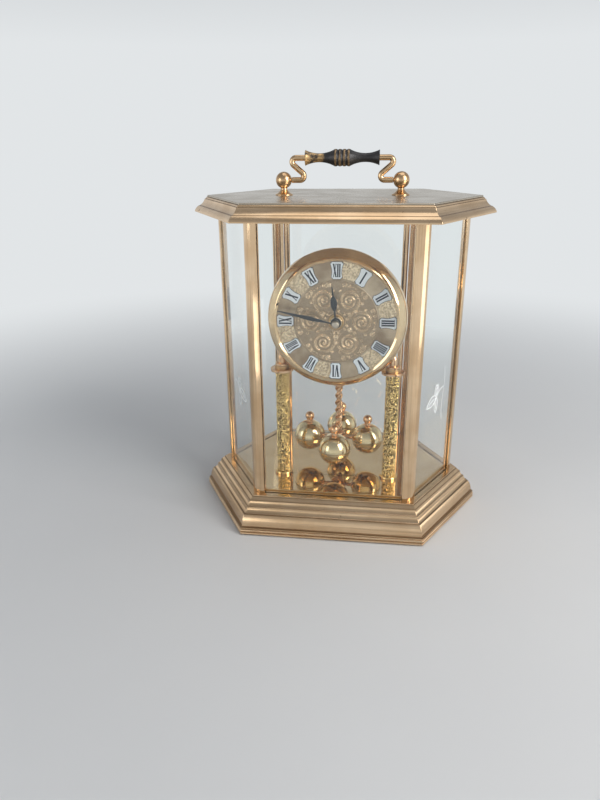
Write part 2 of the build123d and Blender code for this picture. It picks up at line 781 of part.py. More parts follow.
# Bridge: a plate across the columns that carries the movement and the pendulum's pivot
with BuildPart() as support_bridge:
    with BuildSketch(Plane.XY.offset(bridge_bottom)):
        with Locations((0, (bridge_back - bridge_front) / 2)):
            Rectangle(2 * bridge_half_width, bridge_front + bridge_back)
        with Locations(*column_spots):
            Circle(bridge_ear_radius)
            Circle(tie_rod_radius + fit_clearance, mode=Mode.SUBTRACT)
        Circle(pivot_radius + running_clearance, mode=Mode.SUBTRACT)
    extrude(amount=bridge_thickness)
write(support_bridge, "support_bridge")

# Bezel: a deep rounded ring, with a flat inner lip that holds the dial
with BuildPart() as bezel:
    with BuildSketch(dial_section):
        with BuildLine():
            seat_radius = dial_radius + fit_clearance
            lip_back = Line((seat_radius, 0), (bezel_opening, 0))
            lip_side = Line(lip_back @ 1, (bezel_opening, -bezel_lip / 2))
            ring_radius = bezel_opening + bezel_inner_ring
            lip_face = Line(lip_side @ 1, (ring_radius, -bezel_lip))
            curve_end = (bezel_radius, bezel_depth - bezel_back_edge)
            curve = RadiusArc(lip_face @ 1, curve_end, -bezel_curve_radius)
            rim_edge = Line(curve @ 1, (bezel_radius, bezel_depth))
            back = Line(rim_edge @ 1, (seat_radius, bezel_depth))
            Line(back @ 1, lip_back @ 0)
        make_face()
    revolve(axis=hand_axis)
write(bezel, "bezel")

# Dial plate with the raised border of its centre field
dial_back = dial_y + dial_thickness
with BuildPart() as dial_plate:
    with BuildSketch(facing(dial_back)):
        Circle(dial_radius)
        Circle(bush_radius + fit_clearance, mode=Mode.SUBTRACT)
    extrude(amount=dial_thickness)
    with BuildSketch(facing(dial_y)):
        Circle(field_radius)
        Circle(field_radius - field_border, mode=Mode.SUBTRACT)
    extrude(amount=field_rise)
write(dial_plate, "dial_plate")

# Numeral plaques: waisted tablets with notched corners, one for each hour
with BuildPart() as numeral_plaques:
    for hour in range(numeral_count):
        with BuildSketch(facing(dial_y, 360 / numeral_count * hour)):
            with BuildLine():
                top_edge = Line((0, plaque_outer), (plaque_outer_half - plaque_notch, plaque_outer))
                top_notch = RadiusArc(
                    top_edge @ 1, (plaque_outer_half, plaque_outer - plaque_notch), -plaque_notch
                )
                waist_point = (plaque_waist_half, (plaque_inner + plaque_outer) / 2)
                side_end = (plaque_inner_half, plaque_inner + plaque_notch)
                flank = ThreePointArc(top_notch @ 1, waist_point, side_end)
                low_notch = RadiusArc(
                    flank @ 1, (plaque_inner_half - plaque_notch, plaque_inner), -plaque_notch
                )
                low_edge = Line(low_notch @ 1, (0, plaque_inner))
                Line(low_edge @ 1, top_edge @ 0)
            make_face()
            mirror(about=Plane.YZ)
        extrude(amount=plaque_thickness)
write(numeral_plaques, "numeral_plaques")

# Movement housing: a round front that fits behind the bezel and an arched body on the bridge
housing_front = dial_back
drum_back = dial_y + bezel_depth + swing_clearance
drum_bore = housing_radius - housing_wall
housing_foot = bridge_top - dial_z
train_y = housing_front + housing_wall + motion_space
pillar_spots = [
    (pillar_circle * cos(radians(angle)), pillar_circle * sin(radians(angle)))
    for angle in [pillar_turn + 360 / pillar_count * step for step in range(pillar_count)]
]


def arch(inset):
    """Arched outline on the current plane: a half circle over straight sides down to the bridge."""
    half = housing_radius - inset
    foot = housing_foot + inset
    Circle(half)
    with Locations((0, foot / 2)):
        Rectangle(2 * half, -foot)
    with Locations((0, foot - half / 2)):
        Rectangle(2 * half, half, mode=Mode.SUBTRACT)


with BuildPart() as movement_housing:
    with BuildSketch(facing(housing_front)):
        Circle(housing_radius)
    extrude(amount=-(drum_back - housing_front))
    with BuildSketch(facing(drum_back)):
        arch(0)
    extrude(amount=-(housing_back - drum_back))
    with BuildSketch(facing(housing_front + housing_wall)):
        Circle(drum_bore)
    extrude(amount=-(housing_back - housing_front - housing_wall), mode=Mode.SUBTRACT)
    with BuildSketch(facing(drum_back + housing_wall)):
        arch(housing_wall)
    extrude(amount=-(housing_back - drum_back - housing_wall), mode=Mode.SUBTRACT)
    with BuildSketch(facing(housing_front)):
        Circle(bush_radius)
    extrude(amount=bush_reach)
    with BuildSketch(facing(housing_front - bush_reach)):
        Circle(hour_pipe_radius + running_clearance)
    extrude(amount=-(bush_reach + housing_wall), mode=Mode.SUBTRACT)
    with BuildSketch(facing(train_y)):
        with Locations(*pillar_spots):
            Circle(pillar_radius)
    extrude(amount=motion_space)
    with BuildSketch(facing(housing_front + housing_wall)):
        with Locations((0, wheel_distance)):
            Circle(setting_arbor_radius + running_clearance)
    extrude(amount=setting_pivot_length + fit_clearance, mode=Mode.SUBTRACT)
    with BuildSketch(Plane.XY.offset(bridge_top)):
        Circle(magnet_collar_radius + magnet_hole_clearance)
    extrude(amount=housing_wall, mode=Mode.SUBTRACT)
write(movement_housing, "movement_housing")

with BuildPart() as dial_nut:
    with BuildSketch(facing(dial_y)):
        Circle(dial_nut_radius)
        Circle(bush_radius + fit_clearance, mode=Mode.SUBTRACT)
    extrude(amount=dial_nut_height)
    front_edges = dial_nut.edges().group_by(Axis.Y)[0]
    chamfer(front_edges.group_by(SortBy.RADIUS)[-1], dial_nut_chamfer)
write(dial_nut, "dial_nut")

# Cover: closes the housing's back, with a cradle for the battery and a hole for the setting arbor
cover_back = housing_back + cover_thickness
cell_y = cover_back + cell_radius + swing_clearance
cradle_height = 2 * (cell_radius + swing_clearance)
with BuildPart() as movement_cover:
    with BuildSketch(facing(housing_back)):
        arch(0)
        with Locations((0, wheel_distance)):
            Circle(setting_arbor_radius + running_clearance, mode=Mode.SUBTRACT)
    extrude(amount=-cover_thickness)
    with BuildSketch(facing(cover_back)):
        with Locations((0, -cell_drop)):
            Rectangle(cradle_length + 2 * cradle_wall, cradle_height + 2 * cradle_wall)
            Rectangle(cradle_length, cradle_height, mode=Mode.SUBTRACT)
    extrude(amount=-cradle_depth)
write(movement_cover, "movement_cover")

cell_z = dial_z - cell_drop
cell_end = (cell_length + cell_nub_length) / 2
with BuildPart() as battery:
    with BuildSketch(Plane(origin=(-cell_end, cell_y, cell_z), z_dir=(1, 0, 0))):
        Circle(cell_radius)
    extrude(amount=cell_length)
    fillet(battery.edges().filter_by(GeomType.CIRCLE), cell_round)
    with BuildSketch(Plane(origin=(-cell_end + cell_length, cell_y, cell_z), z_dir=(1, 0, 0))):
        Circle(cell_nub_radius)
    extrude(amount=cell_nub_length)
write(battery, "battery")

with BuildPart() as battery_contacts:
    for side in (-1, 1):
        outer_face = side * (cradle_length / 2)
        with BuildSketch(Plane(origin=(outer_face, cell_y, cell_z), z_dir=(-side, 0, 0))):
            Rectangle(contact_width, contact_width)
        extrude(amount=contact_thickness)
write(battery_contacts, "battery_contacts")

# Train plate: carries the arbors' back pivots, the closed gear box and the motor's two stands
plate_back = train_y + train_plate_thickness
plate_radius = drum_bore - swing_clearance
stand_spots = [(side * (core_length - core_pad) / 2, -core_drop) for side in (-1, 1)]
with BuildPart() as train_plate:
    with BuildSketch(facing(train_y)):
        Circle(plate_radius)
        Circle(arbor_radius + running_clearance, mode=Mode.SUBTRACT)
        with Locations((0, wheel_distance)):
            Circle(setting_arbor_radius + running_clearance, mode=Mode.SUBTRACT)
    extrude(amount=-train_plate_thickness)
    with BuildSketch(facing(plate_back)):
        with Locations((-gear_box_size, gear_box_size / 2)):
            Rectangle(gear_box_size, gear_box_size)
    extrude(amount=-gear_box_height)
    with BuildSketch(facing(plate_back)):
        with Locations(*stand_spots):
            Circle(core_leg)
    extrude(amount=-motor_stand)
write(train_plate, "train_plate")

core_y = plate_back + motor_stand
with BuildPart() as motor_core:
    with BuildSketch(facing(core_y)):
        with Locations((0, -core_drop)):
            Rectangle(core_length, core_leg)
        with Locations(*stand_spots):
            Rectangle(core_pad, core_pad)
    extrude(amount=-core_thickness)
write(motor_core, "motor_core")

with BuildPart() as motor_coil:
    coil_middle = (0, core_y + core_thickness / 2, dial_z - core_drop)
    with BuildSketch(Plane(origin=coil_middle, x_dir=(0, 1, 0), z_dir=(1, 0, 0))):
        Circle(coil_radius)
        Rectangle(core_thickness + 2 * fit_clearance, core_leg + 2 * fit_clearance, mode=Mode.SUBTRACT)
    extrude(amount=coil_length / 2, both=True)
write(motor_coil, "motor_coil")

with BuildPart() as circuit_board:
    with BuildSketch(facing(plate_back)):
        with Locations((0, -board_drop)):
            Rectangle(board_width, board_height)
    extrude(amount=-board_thickness)
write(circuit_board, "circuit_board")

with BuildPart() as pendulum_coil:
    with BuildSketch(facing(plate_back + board_thickness)):
        with Locations((0, -board_drop - board_height / 2 + drive_coil_radius)):
            Circle(drive_coil_radius)
            Circle(drive_coil_bore, mode=Mode.SUBTRACT)
    extrude(amount=plate_back + board_thickness + magnet_radius + drive_coil_gap)
write(pendulum_coil, "pendulum_coil")


def gear_face(teeth, turn):
    """Toothed outline on the current plane, for a wheel that runs at the motion work's distance."""
    module = 2 * wheel_distance / (teeth + mesh_teeth[teeth])
    pitch = pi * module
    root = module * (teeth / 2 - tooth_below_pitch)
    tip = module * (teeth / 2 + tooth_above_pitch)
    foot_half = tooth_root_share * pitch
    tip_half = tooth_tip_share * pitch
    sunk = sqrt(root**2 - foot_half**2) - fit_clearance
    Circle(root)
    with PolarLocations(0, teeth, start_angle=turn):
        Polygon((sunk, -foot_half), (tip, -tip_half), (tip, tip_half), (sunk, foot_half), align=None)


# Motion work: cannon pinion to minute wheel, minute pinion to hour wheel
mesh_teeth = {
    cannon_teeth: minute_wheel_teeth,
    minute_wheel_teeth: cannon_teeth,
    minute_pinion_teeth: hour_wheel_teeth,
    hour_wheel_teeth: minute_pinion_teeth,
}
bush_front = housing_front - bush_reach
pipe_front = bush_front - pipe_reach
hour_wheel_front = housing_front + housing_wall + wheel_gap
cannon_front = hour_wheel_front + hour_wheel_thickness + wheel_gap
minute_wheel_front = cannon_front + (cannon_length - minute_wheel_thickness) / 2

with BuildPart() as hour_wheel:
    with BuildSketch(facing(hour_wheel_front)):
        gear_face(hour_wheel_teeth, 90)
    extrude(amount=-hour_wheel_thickness)
    with BuildSketch(facing(hour_wheel_front)):
        Circle(hour_pipe_radius)
    extrude(amount=hour_wheel_front - pipe_front)
    with BuildSketch(facing(pipe_front)):
        Circle(arbor_radius + running_clearance)
    extrude(amount=-(hour_wheel_front + hour_wheel_thickness - pipe_front), mode=Mode.SUBTRACT)
write(hour_wheel, "hour_wheel")

hour_hand_front = pipe_front + hand_gap
minute_collet_back = pipe_front - hand_gap
minute_hand_front = minute_collet_back - collet_height
with BuildPart() as minute_arbor:
    with BuildSketch(facing(train_y + arbor_tail)):
        Circle(arbor_radius)
    extrude(amount=train_y + arbor_tail - minute_hand_front)
    with BuildSketch(facing(minute_hand_front)):
        Circle(hand_screw_radius)
    extrude(amount=hand_nut_height / 2)
    with BuildSketch(facing(cannon_front)):
        gear_face(cannon_teeth, 90)
    extrude(amount=-cannon_length)
write(minute_arbor, "minute_arbor")

knob_front = cover_back + swing_clearance
with BuildPart() as setting_arbor:
    with BuildSketch(facing(minute_wheel_front)):
        with Locations((0, wheel_distance)):
            gear_face(minute_wheel_teeth, 90 + 180 / minute_wheel_teeth)
    extrude(amount=-minute_wheel_thickness)
    with BuildSketch(facing(minute_wheel_front)):
        with Locations((0, wheel_distance)):
            gear_face(minute_pinion_teeth, -90 + 180 / minute_pinion_teeth)
    extrude(amount=minute_wheel_front - hour_wheel_front)
    with BuildSketch(facing(housing_front + housing_wall + setting_pivot_length)):
        with Locations((0, wheel_distance)):
            Circle(setting_arbor_radius)
    extrude(amount=-(knob_front + knob_height / 2 - housing_front - housing_wall - setting_pivot_length))
write(setting_arbor, "setting_arbor")

# Setting knob: fluted, on the back end of the minute wheel's arbor
with BuildPart() as setting_knob:
    with BuildSketch(facing(knob_front)):
        with Locations((0, wheel_distance)):
            Circle(knob_radius)
            with PolarLocations(knob_radius, knob_flutes):
                Circle(knob_flute_radius, mode=Mode.SUBTRACT)
    extrude(amount=-knob_height)
    with BuildSketch(facing(knob_front)):
        with Locations((0, wheel_distance)):
            Circle(setting_arbor_radius + fit_clearance)
    extrude(amount=-(knob_height / 2 + fit_clearance), mode=Mode.SUBTRACT)
write(setting_knob, "setting_knob")

# Hour hand: a collet on the pipe, a slim neck, a pear-shaped belly and a long beak
with BuildPart() as hour_hand:
    with BuildSketch(facing(hour_hand_front + hand_thickness, hour_angle)):
        with BuildLine():
            neck = Line((hour_neck_half, 0), (hour_neck_half, hour_neck_end))
            belly = ThreePointArc(neck @ 1, (hour_half_width, hour_belly), (hour_neck_half, hour_beak))
            beak = Line(belly @ 1, (hand_tip_half, hour_length))
            point = Line(beak @ 1, (0, hour_length))
            middle = Line(point @ 1, (0, 0))
            Line(middle @ 1, neck @ 0)
        make_face()
        mirror(about=Plane.YZ)
        Circle(hour_collet_radius)
        Circle(hour_pipe_radius + fit_clearance, mode=Mode.SUBTRACT)
    extrude(amount=hand_thickness)
    with BuildSketch(facing(hour_hand_front + collet_height)):
        Circle(hour_collet_radius)
        Circle(hour_pipe_radius + fit_clearance, mode=Mode.SUBTRACT)
    extrude(amount=collet_height)
write(hour_hand, "hour_hand")

# Minute hand: a slim neck that widens to a shoulder, then one long taper
with BuildPart() as minute_hand:
    with BuildSketch(facing(minute_hand_front + hand_thickness, minute_angle)):
        with BuildLine():
            neck = Line((minute_neck_half, 0), (minute_neck_half, minute_neck_end))
            shoulder = Line(neck @ 1, (minute_half_width, minute_shoulder))
            taper = Line(shoulder @ 1, (hand_tip_half, minute_length))
            point = Line(taper @ 1, (0, minute_length))
            middle = Line(point @ 1, (0, 0))
            Line(middle @ 1, neck @ 0)
        make_face()
        mirror(about=Plane.YZ)
        Circle(minute_collet_radius)
        Circle(arbor_radius + fit_clearance, mode=Mode.SUBTRACT)
    extrude(amount=hand_thickness)
    with BuildSketch(facing(minute_collet_back)):
        Circle(minute_collet_radius)
        Circle(arbor_radius + fit_clearance, mode=Mode.SUBTRACT)
    extrude(amount=collet_height)
write(minute_hand, "minute_hand")

# Hand nut: a domed cap on the arbor's screw
with BuildPart() as hand_nut:
    with BuildSketch(Plane(origin=(0, minute_hand_front, dial_z), x_dir=(1, 0, 0), z_dir=(0, 0, 1))):
        with BuildLine():
            bore_radius = hand_screw_radius + fit_clearance
            bore_end = -(hand_nut_height / 2 + fit_clearance)
            seat = Line((bore_radius, 0), (hand_nut_radius, 0))
            wall = Line(seat @ 1, (hand_nut_radius, -hand_nut_height / 2))
            dome_edge = (hand_nut_radius, -hand_nut_height)
            dome = Bezier(wall @ 1, dome_edge, (hand_nut_flat, -hand_nut_height))
            front_flat = Line(dome @ 1, (0, -hand_nut_height))
            core = Line(front_flat @ 1, (0, bore_end))
            bore_floor = Line(core @ 1, (bore_radius, bore_end))
            Line(bore_floor @ 1, seat @ 0)
        make_face()
    revolve(axis=hand_axis)
write(hand_nut, "hand_nut")

# Pendulum: everything hangs from a collar on the bridge and turns about the upright middle line
ball_level = floor_top + pendulum_lift + pendulum_ball_radius
twist_bottom = ball_level + hub_height / 2
twist_top = bridge_bottom - swing_clearance - stem_neck
twist_length = twist_top - twist_bottom
arm_bearings = [pendulum_turn + 360 / pendulum_count * step for step in range(pendulum_count)]

with BuildPart() as pendulum_stem:
    with BuildSketch(Plane.XY.offset(ball_level - hub_height / 2)):
        Circle(stem_radius)
    extrude(amount=twist_top - ball_level + hub_height / 2)
    with BuildSketch(Plane.XY.offset(twist_bottom)) as twist_section:
        with PolarLocations(twist_radius - twist_lobe_radius, twist_lobes):
            Circle(twist_lobe_radius)
    turn = 360 * twist_length / twist_pitch
    add(
        Solid.extrude_linear_with_rotation(
            twist_section.sketch.face(), (0, 0, twist_bottom), (0, 0, twist_length), turn
        )
    )
    with BuildSketch(Plane.XY.offset(twist_top)):
        Circle(flange_radius)
    extrude(amount=flange_height)
    with BuildSketch(Plane.XY.offset(twist_top)):
        Circle(stem_radius)
    extrude(amount=stem_neck)
    with BuildSketch(Plane.XY.offset(twist_top)):
        Circle(pivot_radius)
    extrude(amount=bridge_top + magnet_collar_height + magnet_height - twist_top)
write(pendulum_stem, "pendulum_stem")

with BuildPart() as pendulum_magnet:
    with BuildSketch(Plane.XY.offset(bridge_top + collar_gap)):
        Circle(magnet_collar_radius)
    extrude(amount=magnet_collar_height - collar_gap)
    with BuildSketch(Plane.XY.offset(bridge_top + magnet_collar_height)):
        Circle(magnet_radius)
    extrude(amount=magnet_height)
    with BuildSketch(Plane.XY.offset(bridge_top)):
        Circle(pivot_radius + fit_clearance)
    extrude(amount=magnet_collar_height + magnet_height, mode=Mode.SUBTRACT)
write(pendulum_magnet, "pendulum_magnet")

# Hub with four arms that reach into the balls
arm_reach = pendulum_circle - pendulum_ball_radius + arm_socket
with BuildPart() as pendulum_arms:
    with BuildSketch(Plane.XY.offset(ball_level - hub_height / 2)):
        Circle(hub_radius)
    extrude(amount=hub_height)
    fillet(pendulum_arms.edges().filter_by(GeomType.CIRCLE), hub_round)
    for bearing in arm_bearings:
        outwards = (cos(radians(bearing)), sin(radians(bearing)), 0)
        with BuildSketch(Plane(origin=(0, 0, ball_level), z_dir=outwards)):
            Circle(arm_radius)
        extrude(amount=arm_reach)
    with BuildSketch(Plane.XY.offset(ball_level - hub_height / 2)):
        Circle(stem_radius + fit_clearance)
    extrude(amount=hub_height, mode=Mode.SUBTRACT)
write(pendulum_arms, "pendulum_arms")

# Balls: polished, with a fine seam round the middle and a knob on top
with BuildPart() as single_ball:
    with BuildSketch(Plane(origin=(pendulum_circle, 0, ball_level), x_dir=(1, 0, 0), z_dir=(0, -1, 0))):
        with BuildLine():
            neck_bottom = sqrt(pendulum_ball_radius**2 - ball_neck_radius**2)
            neck_top = ball_knob_height - sqrt(ball_knob_radius**2 - ball_neck_radius**2)
            bowl = ThreePointArc(
                (0, -pendulum_ball_radius), (pendulum_ball_radius, 0), (ball_neck_radius, neck_bottom)
            )
            neck = Line(bowl @ 1, (ball_neck_radius, neck_top))
            knob_top = (0, ball_knob_height + ball_knob_radius)
            knob = ThreePointArc(neck @ 1, (ball_knob_radius, ball_knob_height), knob_top)
            Line(knob @ 1, bowl @ 0)
        make_face()
    revolve(axis=Axis((pendulum_circle, 0, 0), (0, 0, 1)))
    with BuildSketch(Plane.XY.offset(ball_level - seam_height / 2)):
        with Locations((pendulum_circle, 0)):
            Circle(pendulum_ball_radius + seam_rise)
    extrude(amount=seam_height)
    with BuildSketch(Plane(origin=(0, 0, ball_level), z_dir=(1, 0, 0))):
        Circle(arm_radius + fit_clearance)
    extrude(amount=arm_reach + fit_clearance, mode=Mode.SUBTRACT)

with BuildPart() as pendulum_balls:
    with Locations(*[Location((0, 0, 0), (0, 0, bearing)) for bearing in arm_bearings]):
        add(single_ball.part)
write(pendulum_balls, "pendulum_balls")

# Rear door: glass between two round stiles; the hinge stile turns on pins in base and cap
door_height = door_top - door_bottom
glass_half = stile_x - stile_web
with BuildPart() as door_pane:
    with BuildSketch(Plane.XY.offset(door_bottom)):
        with Locations((0, door_y)):
            Rectangle(2 * glass_half, glass_thickness)
    extrude(amount=door_height)
write(door_pane, "door_pane")

for side, name in ((-1, "hinge"), (1, "lock")):
    with BuildPart() as stile:
        with BuildSketch(Plane.XY.offset(door_bottom)):
            with Locations((side * stile_x, door_y)):
                Circle(stile_radius)
            with Locations((0, door_y)):
                slot_width = glass_thickness + 2 * fit_clearance
                Rectangle(2 * (glass_half + fit_clearance), slot_width, mode=Mode.SUBTRACT)
        extrude(amount=door_height)
        if name == "hinge":
            with BuildSketch(Plane.XY.offset(base_height - door_pin_depth)):
                with Locations((side * stile_x, door_y)):
                    Circle(door_pin_radius)
            extrude(amount=door_pin_depth + swing_clearance)
            with BuildSketch(Plane.XY.offset(door_top)):
                with Locations((side * stile_x, door_y)):
                    Circle(door_pin_radius)
            extrude(amount=door_pin_depth + swing_clearance)
    write(stile, f"door_{name}_stile")

# Door knob: a rounded button on a neck, on the outside of the lock stile
knob_seat = door_y + stile_radius
door_middle = (door_bottom + door_top) / 2
with BuildPart() as door_knob:
    button_middle = (stile_x, knob_seat + door_knob_neck_length, door_middle)
    with BuildSketch(Plane(origin=button_middle, z_dir=(0, 1, 0))):
        Circle(door_knob_radius)
    extrude(amount=door_knob_height)
    fillet(door_knob.edges().filter_by(GeomType.CIRCLE), door_knob_round)
    with BuildSketch(Plane(origin=(stile_x, knob_seat, door_middle), z_dir=(0, 1, 0))):
        Circle(door_knob_neck)
    extrude(amount=door_knob_neck_length + door_knob_height / 2)
write(door_knob, "door_knob")
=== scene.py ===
# %% [markdown]
# # A six-sided glass case clock
# The clock stands in a brass and glass case: a stepped base, six posts, five fixed panes and a rear door,
# a flared cap and a turned handle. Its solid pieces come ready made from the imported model, already in the
# right places, in metres, with +Z up and the front towards -Y. This lesson dresses them: soft edges that
# catch light, the dial's ornament, the bark of the columns, and a finish for every piece.

# %% Load the solid pieces
import json
from math import cos, pi, radians, sin, tau

import bmesh
import bpy
from mathutils import Matrix, Vector, noise


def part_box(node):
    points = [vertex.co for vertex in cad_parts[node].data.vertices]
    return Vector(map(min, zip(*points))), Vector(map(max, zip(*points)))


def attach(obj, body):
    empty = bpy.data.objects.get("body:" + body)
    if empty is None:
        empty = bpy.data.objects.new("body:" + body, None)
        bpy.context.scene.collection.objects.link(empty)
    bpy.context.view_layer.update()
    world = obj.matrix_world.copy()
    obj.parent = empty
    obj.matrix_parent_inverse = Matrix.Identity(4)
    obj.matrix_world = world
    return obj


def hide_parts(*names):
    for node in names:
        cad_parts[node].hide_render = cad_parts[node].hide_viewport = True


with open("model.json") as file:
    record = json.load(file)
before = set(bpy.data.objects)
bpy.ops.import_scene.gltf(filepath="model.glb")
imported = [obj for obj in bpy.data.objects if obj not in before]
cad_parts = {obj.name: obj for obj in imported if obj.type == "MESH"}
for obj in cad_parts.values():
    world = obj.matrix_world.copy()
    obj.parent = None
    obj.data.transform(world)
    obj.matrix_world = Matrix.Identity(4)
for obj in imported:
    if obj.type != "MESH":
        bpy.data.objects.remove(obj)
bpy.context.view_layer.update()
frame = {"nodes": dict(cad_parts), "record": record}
nodes = frame["nodes"]
mm = 0.001
slot_of = {part["node"]: part["material_slot"] for part in frame["record"]["subparts"]}

# %% [markdown]
# ## Writing shaders as sums
# A finish such as worn brass is a sum of small patterns. Drawing those sums as a web of nodes is slow to
# read, so a small class wraps a socket and gives it Python's operators: every sum adds one Math node. Any
# other node comes from one method, which sets the node's own settings first and then its sockets.

# %% A socket that can be added and multiplied
class Wire:
    """The output of a node; each operator adds one Math node behind it."""

    def __init__(self, tree, socket):
        self.tree = tree
        self.socket = socket

    def maths(self, operation, *values):
        return self.tree.node("Math", {"operation": operation}, dict(enumerate(values)))

    def __add__(self, other):
        return self.maths("ADD", self, other)

    def __sub__(self, other):
        return self.maths("SUBTRACT", self, other)

    def __rsub__(self, other):
        return self.maths("SUBTRACT", other, self)

    def __mul__(self, other):
        return self.maths("MULTIPLY", self, other)

    def __truediv__(self, other):
        return self.maths("DIVIDE", self, other)

    def __rtruediv__(self, other):
        return self.maths("DIVIDE", other, self)

    def __pow__(self, other):
        return self.maths("POWER", self, other)

    def __abs__(self):
        return self.maths("ABSOLUTE", self)

    __radd__ = __add__
    __rmul__ = __mul__


print("sockets take sums")


# %% A tree of nodes
class Tree:
    """Nodes of one material or of the world."""

    def __init__(self, tree):
        self.tree = tree

    def node(self, kind, settings=None, sockets=None, out=0):
        made = self.tree.nodes.new("ShaderNode" + kind)
        for name, value in (settings or {}).items():
            if name == "stops":
                ramp = made.color_ramp.elements
                for index, (place, colour) in enumerate(value):
                    stop = ramp[index] if index < 2 else ramp.new(place)
                    stop.position = place
                    stop.color = (*colour, 1)
            else:
                setattr(made, name, value)
        for name, value in (sockets or {}).items():
            self.join(value, made.inputs[name])
        return Wire(self, made.outputs[out])

    def join(self, value, socket):
        if isinstance(value, Wire):
            self.tree.links.new(value.socket, socket)
        else:
            socket.default_value = value

    def place(self, stretch=(1, 1, 1)):
        """Coordinates on the object in metres, stretched along each axis."""
        spot = self.node("TexCoord", out="Object")
        if stretch == (1, 1, 1):
            return spot
        return self.node("VectorMath", {"operation": "MULTIPLY"}, {0: spot, 1: stretch})

    def cloud(self, scale, stretch=(1, 1, 1), detail=3.0, roughness=0.55):
        """Soft noise from 0 to 1; scale is in features per metre."""
        sockets = {"Vector": self.place(stretch), "Scale": scale, "Detail": detail, "Roughness": roughness}
        return self.node("TexNoise", {}, sockets)

    def step(self, value, low, high):
        """Smooth step of a value from 0 at low to 1 at high."""
        settings = {"interpolation_type": "SMOOTHSTEP"}
        return self.node("MapRange", settings, {"Value": value, "From Min": low, "From Max": high})

    def blend(self, share, first, second):
        """A colour between two others."""
        colours = [(*c, 1) if isinstance(c, tuple) else c for c in (first, second)]
        return self.node("Mix", {"data_type": "RGBA"}, {0: share, 6: colours[0], 7: colours[1]}, out=2)

    def split(self, vector):
        """The three parts of a vector, as separate values."""
        parts = self.tree.nodes.new("ShaderNodeSeparateXYZ")
        self.join(vector, parts.inputs[0])
        return [Wire(self, socket) for socket in parts.outputs]

    def axes(self):
        """The three coordinates on the object, as separate values."""
        return self.split(self.place())

    def rays(self, first, *others):
        """1 for a ray of one of these kinds, 0 for any other."""
        found = self.node("LightPath", out=f"Is {first} Ray")
        for kind in others:
            found = found + self.node("LightPath", out=f"Is {kind} Ray")
        return found


print("trees ready")

# %% A finish
finishes = {}


class Finish(Tree):
    """A material with one Principled shader; what is even all over is set on its sockets."""

    def __init__(self, name, **same):
        self.material = bpy.data.materials.new(name)
        self.material.use_nodes = True
        super().__init__(self.material.node_tree)
        self.shader = self.tree.nodes["Principled BSDF"]
        for socket, value in same.items():
            self.feed(socket, (*value, 1) if isinstance(value, tuple) else value)
        finishes[name] = self

    def feed(self, socket, value):
        title = socket.replace("_", " ").title().replace("Ior", "IOR")
        self.join(value, self.shader.inputs[title])

    def relief(self, height, depth):
        """Shade the surface as if it stood up by depth millimetres where height is 1."""
        sockets = {"Strength": 1.0, "Distance": depth * mm, "Height": height}
        self.feed("normal", self.node("Bump", {}, sockets))

    def grain(self, pattern, first, second, rough, swing, depth):
        """Two tones, a roughness and a relief that all follow one pattern."""
        self.feed("base_color", self.blend(pattern, first, second))
        self.feed("roughness", rough + pattern * swing)
        self.relief(pattern, depth)

    def mix_in(self, share, other):
        """Show another shader in place of this one, by a share from 0 to 1."""
        sockets = {0: share, 1: Wire(self, self.shader.outputs[0]), 2: other}
        self.join(self.node("MixShader", {}, sockets), self.tree.nodes["Material Output"].inputs["Surface"])


print("finishes ready")

# %% [markdown]
# ## Brass in its many states
# Nearly everything on this clock is brass: satin and lacquered on the case, polished on the bezel, darkened
# with age on the handle. They share one recipe, so one function makes them all. A slow cloud shifts the
# colour from patch to patch, a finer one changes the polish, fine lines in one direction are the marks of
# brushing and broad ones the streaks of old lacquer, and a few specks are where it has lifted. Along the
# inner corners of a moulding, a dark line of painted shade is laid into the colour.

# %% Painted shade in the corners of a moulding
shade_line_half = 0.32


def painted_corner_shade(finish, bottom, top, levels):
    """Mask of painted shade: 1 at the given heights, 0 elsewhere; all heights in millimetres."""
    stops = []
    for level in levels:
        for shift, peak in ((-shade_line_half, 0), (0, 1), (shade_line_half, 0)):
            stops.append(((level + shift - bottom) / (top - bottom), (peak,) * 3))
    height = (finish.axes()[2] / mm - bottom) / (top - bottom)
    return finish.node("ValToRGB", {"stops": stops}, {0: height})


print("a line of tarnish is", 2 * shade_line_half, "mm high")

# %% One recipe for brass
# The second brown is painted shade for a moulding's inner corners; the first is lifted lacquer.
lifted_brown, corner_shade_brown = (0.13, 0.07, 0.03), (0.10, 0.052, 0.020)


def darker(colour, share):
    return tuple(part * share for part in colour)


def brass(name, light, dark, polish, patch=60, brush=None, specks=0.0, corners=None):
    """Two tones, the smoothest and roughest polish, patches per metre, and what else the metal shows."""
    finish = Finish(name, metallic=1.0)
    patches = finish.step(finish.cloud(patch), 0.32, 0.70)
    fine = finish.cloud(patch * 14, detail=4.0)
    colour = finish.blend(patches, dark, light)
    rough = polish[0] + (polish[1] - polish[0]) * (0.55 * fine + 0.45 * (1 - patches))
    if brush:
        lines = finish.cloud(1.0, brush, roughness=0.75)
        streaks = finish.cloud(1.0, tuple(n * (0.5 if n < 100 else 0.2) for n in brush), detail=4.0)
        colour = finish.blend(finish.step(lines, 0.38, 0.66) * 0.30, colour, darker(light, 0.60))
        colour = finish.blend(finish.step(streaks, 0.46, 0.68) * 0.50, colour, darker(dark, 0.66))
        rough = rough + lines * 0.05
        finish.relief(lines, 0.02)
    if specks:
        spots = finish.step(finish.cloud(420, detail=1.0), 0.74, 0.78) * specks
        colour = finish.blend(spots, colour, lifted_brown)
        rough = rough + spots * 0.3
    if corners:
        # Painted shade: a dark line along each inner corner of a moulding.
        corner_shade = painted_corner_shade(finish, *corners) * (0.55 + 0.45 * fine)
        colour = finish.blend(corner_shade, colour, corner_shade_brown)
        rough = rough + corner_shade * 0.2
    finish.feed("base_color", colour)
    finish.feed("roughness", rough)


print("brass ready")

# %% [markdown]
# ## The metals of this clock
# Brushing runs along a piece: three numbers give its lines per metre along x, y and z, few along the piece
# and many across it. A moulding's corners are the heights of its foot, its top and each inner corner.

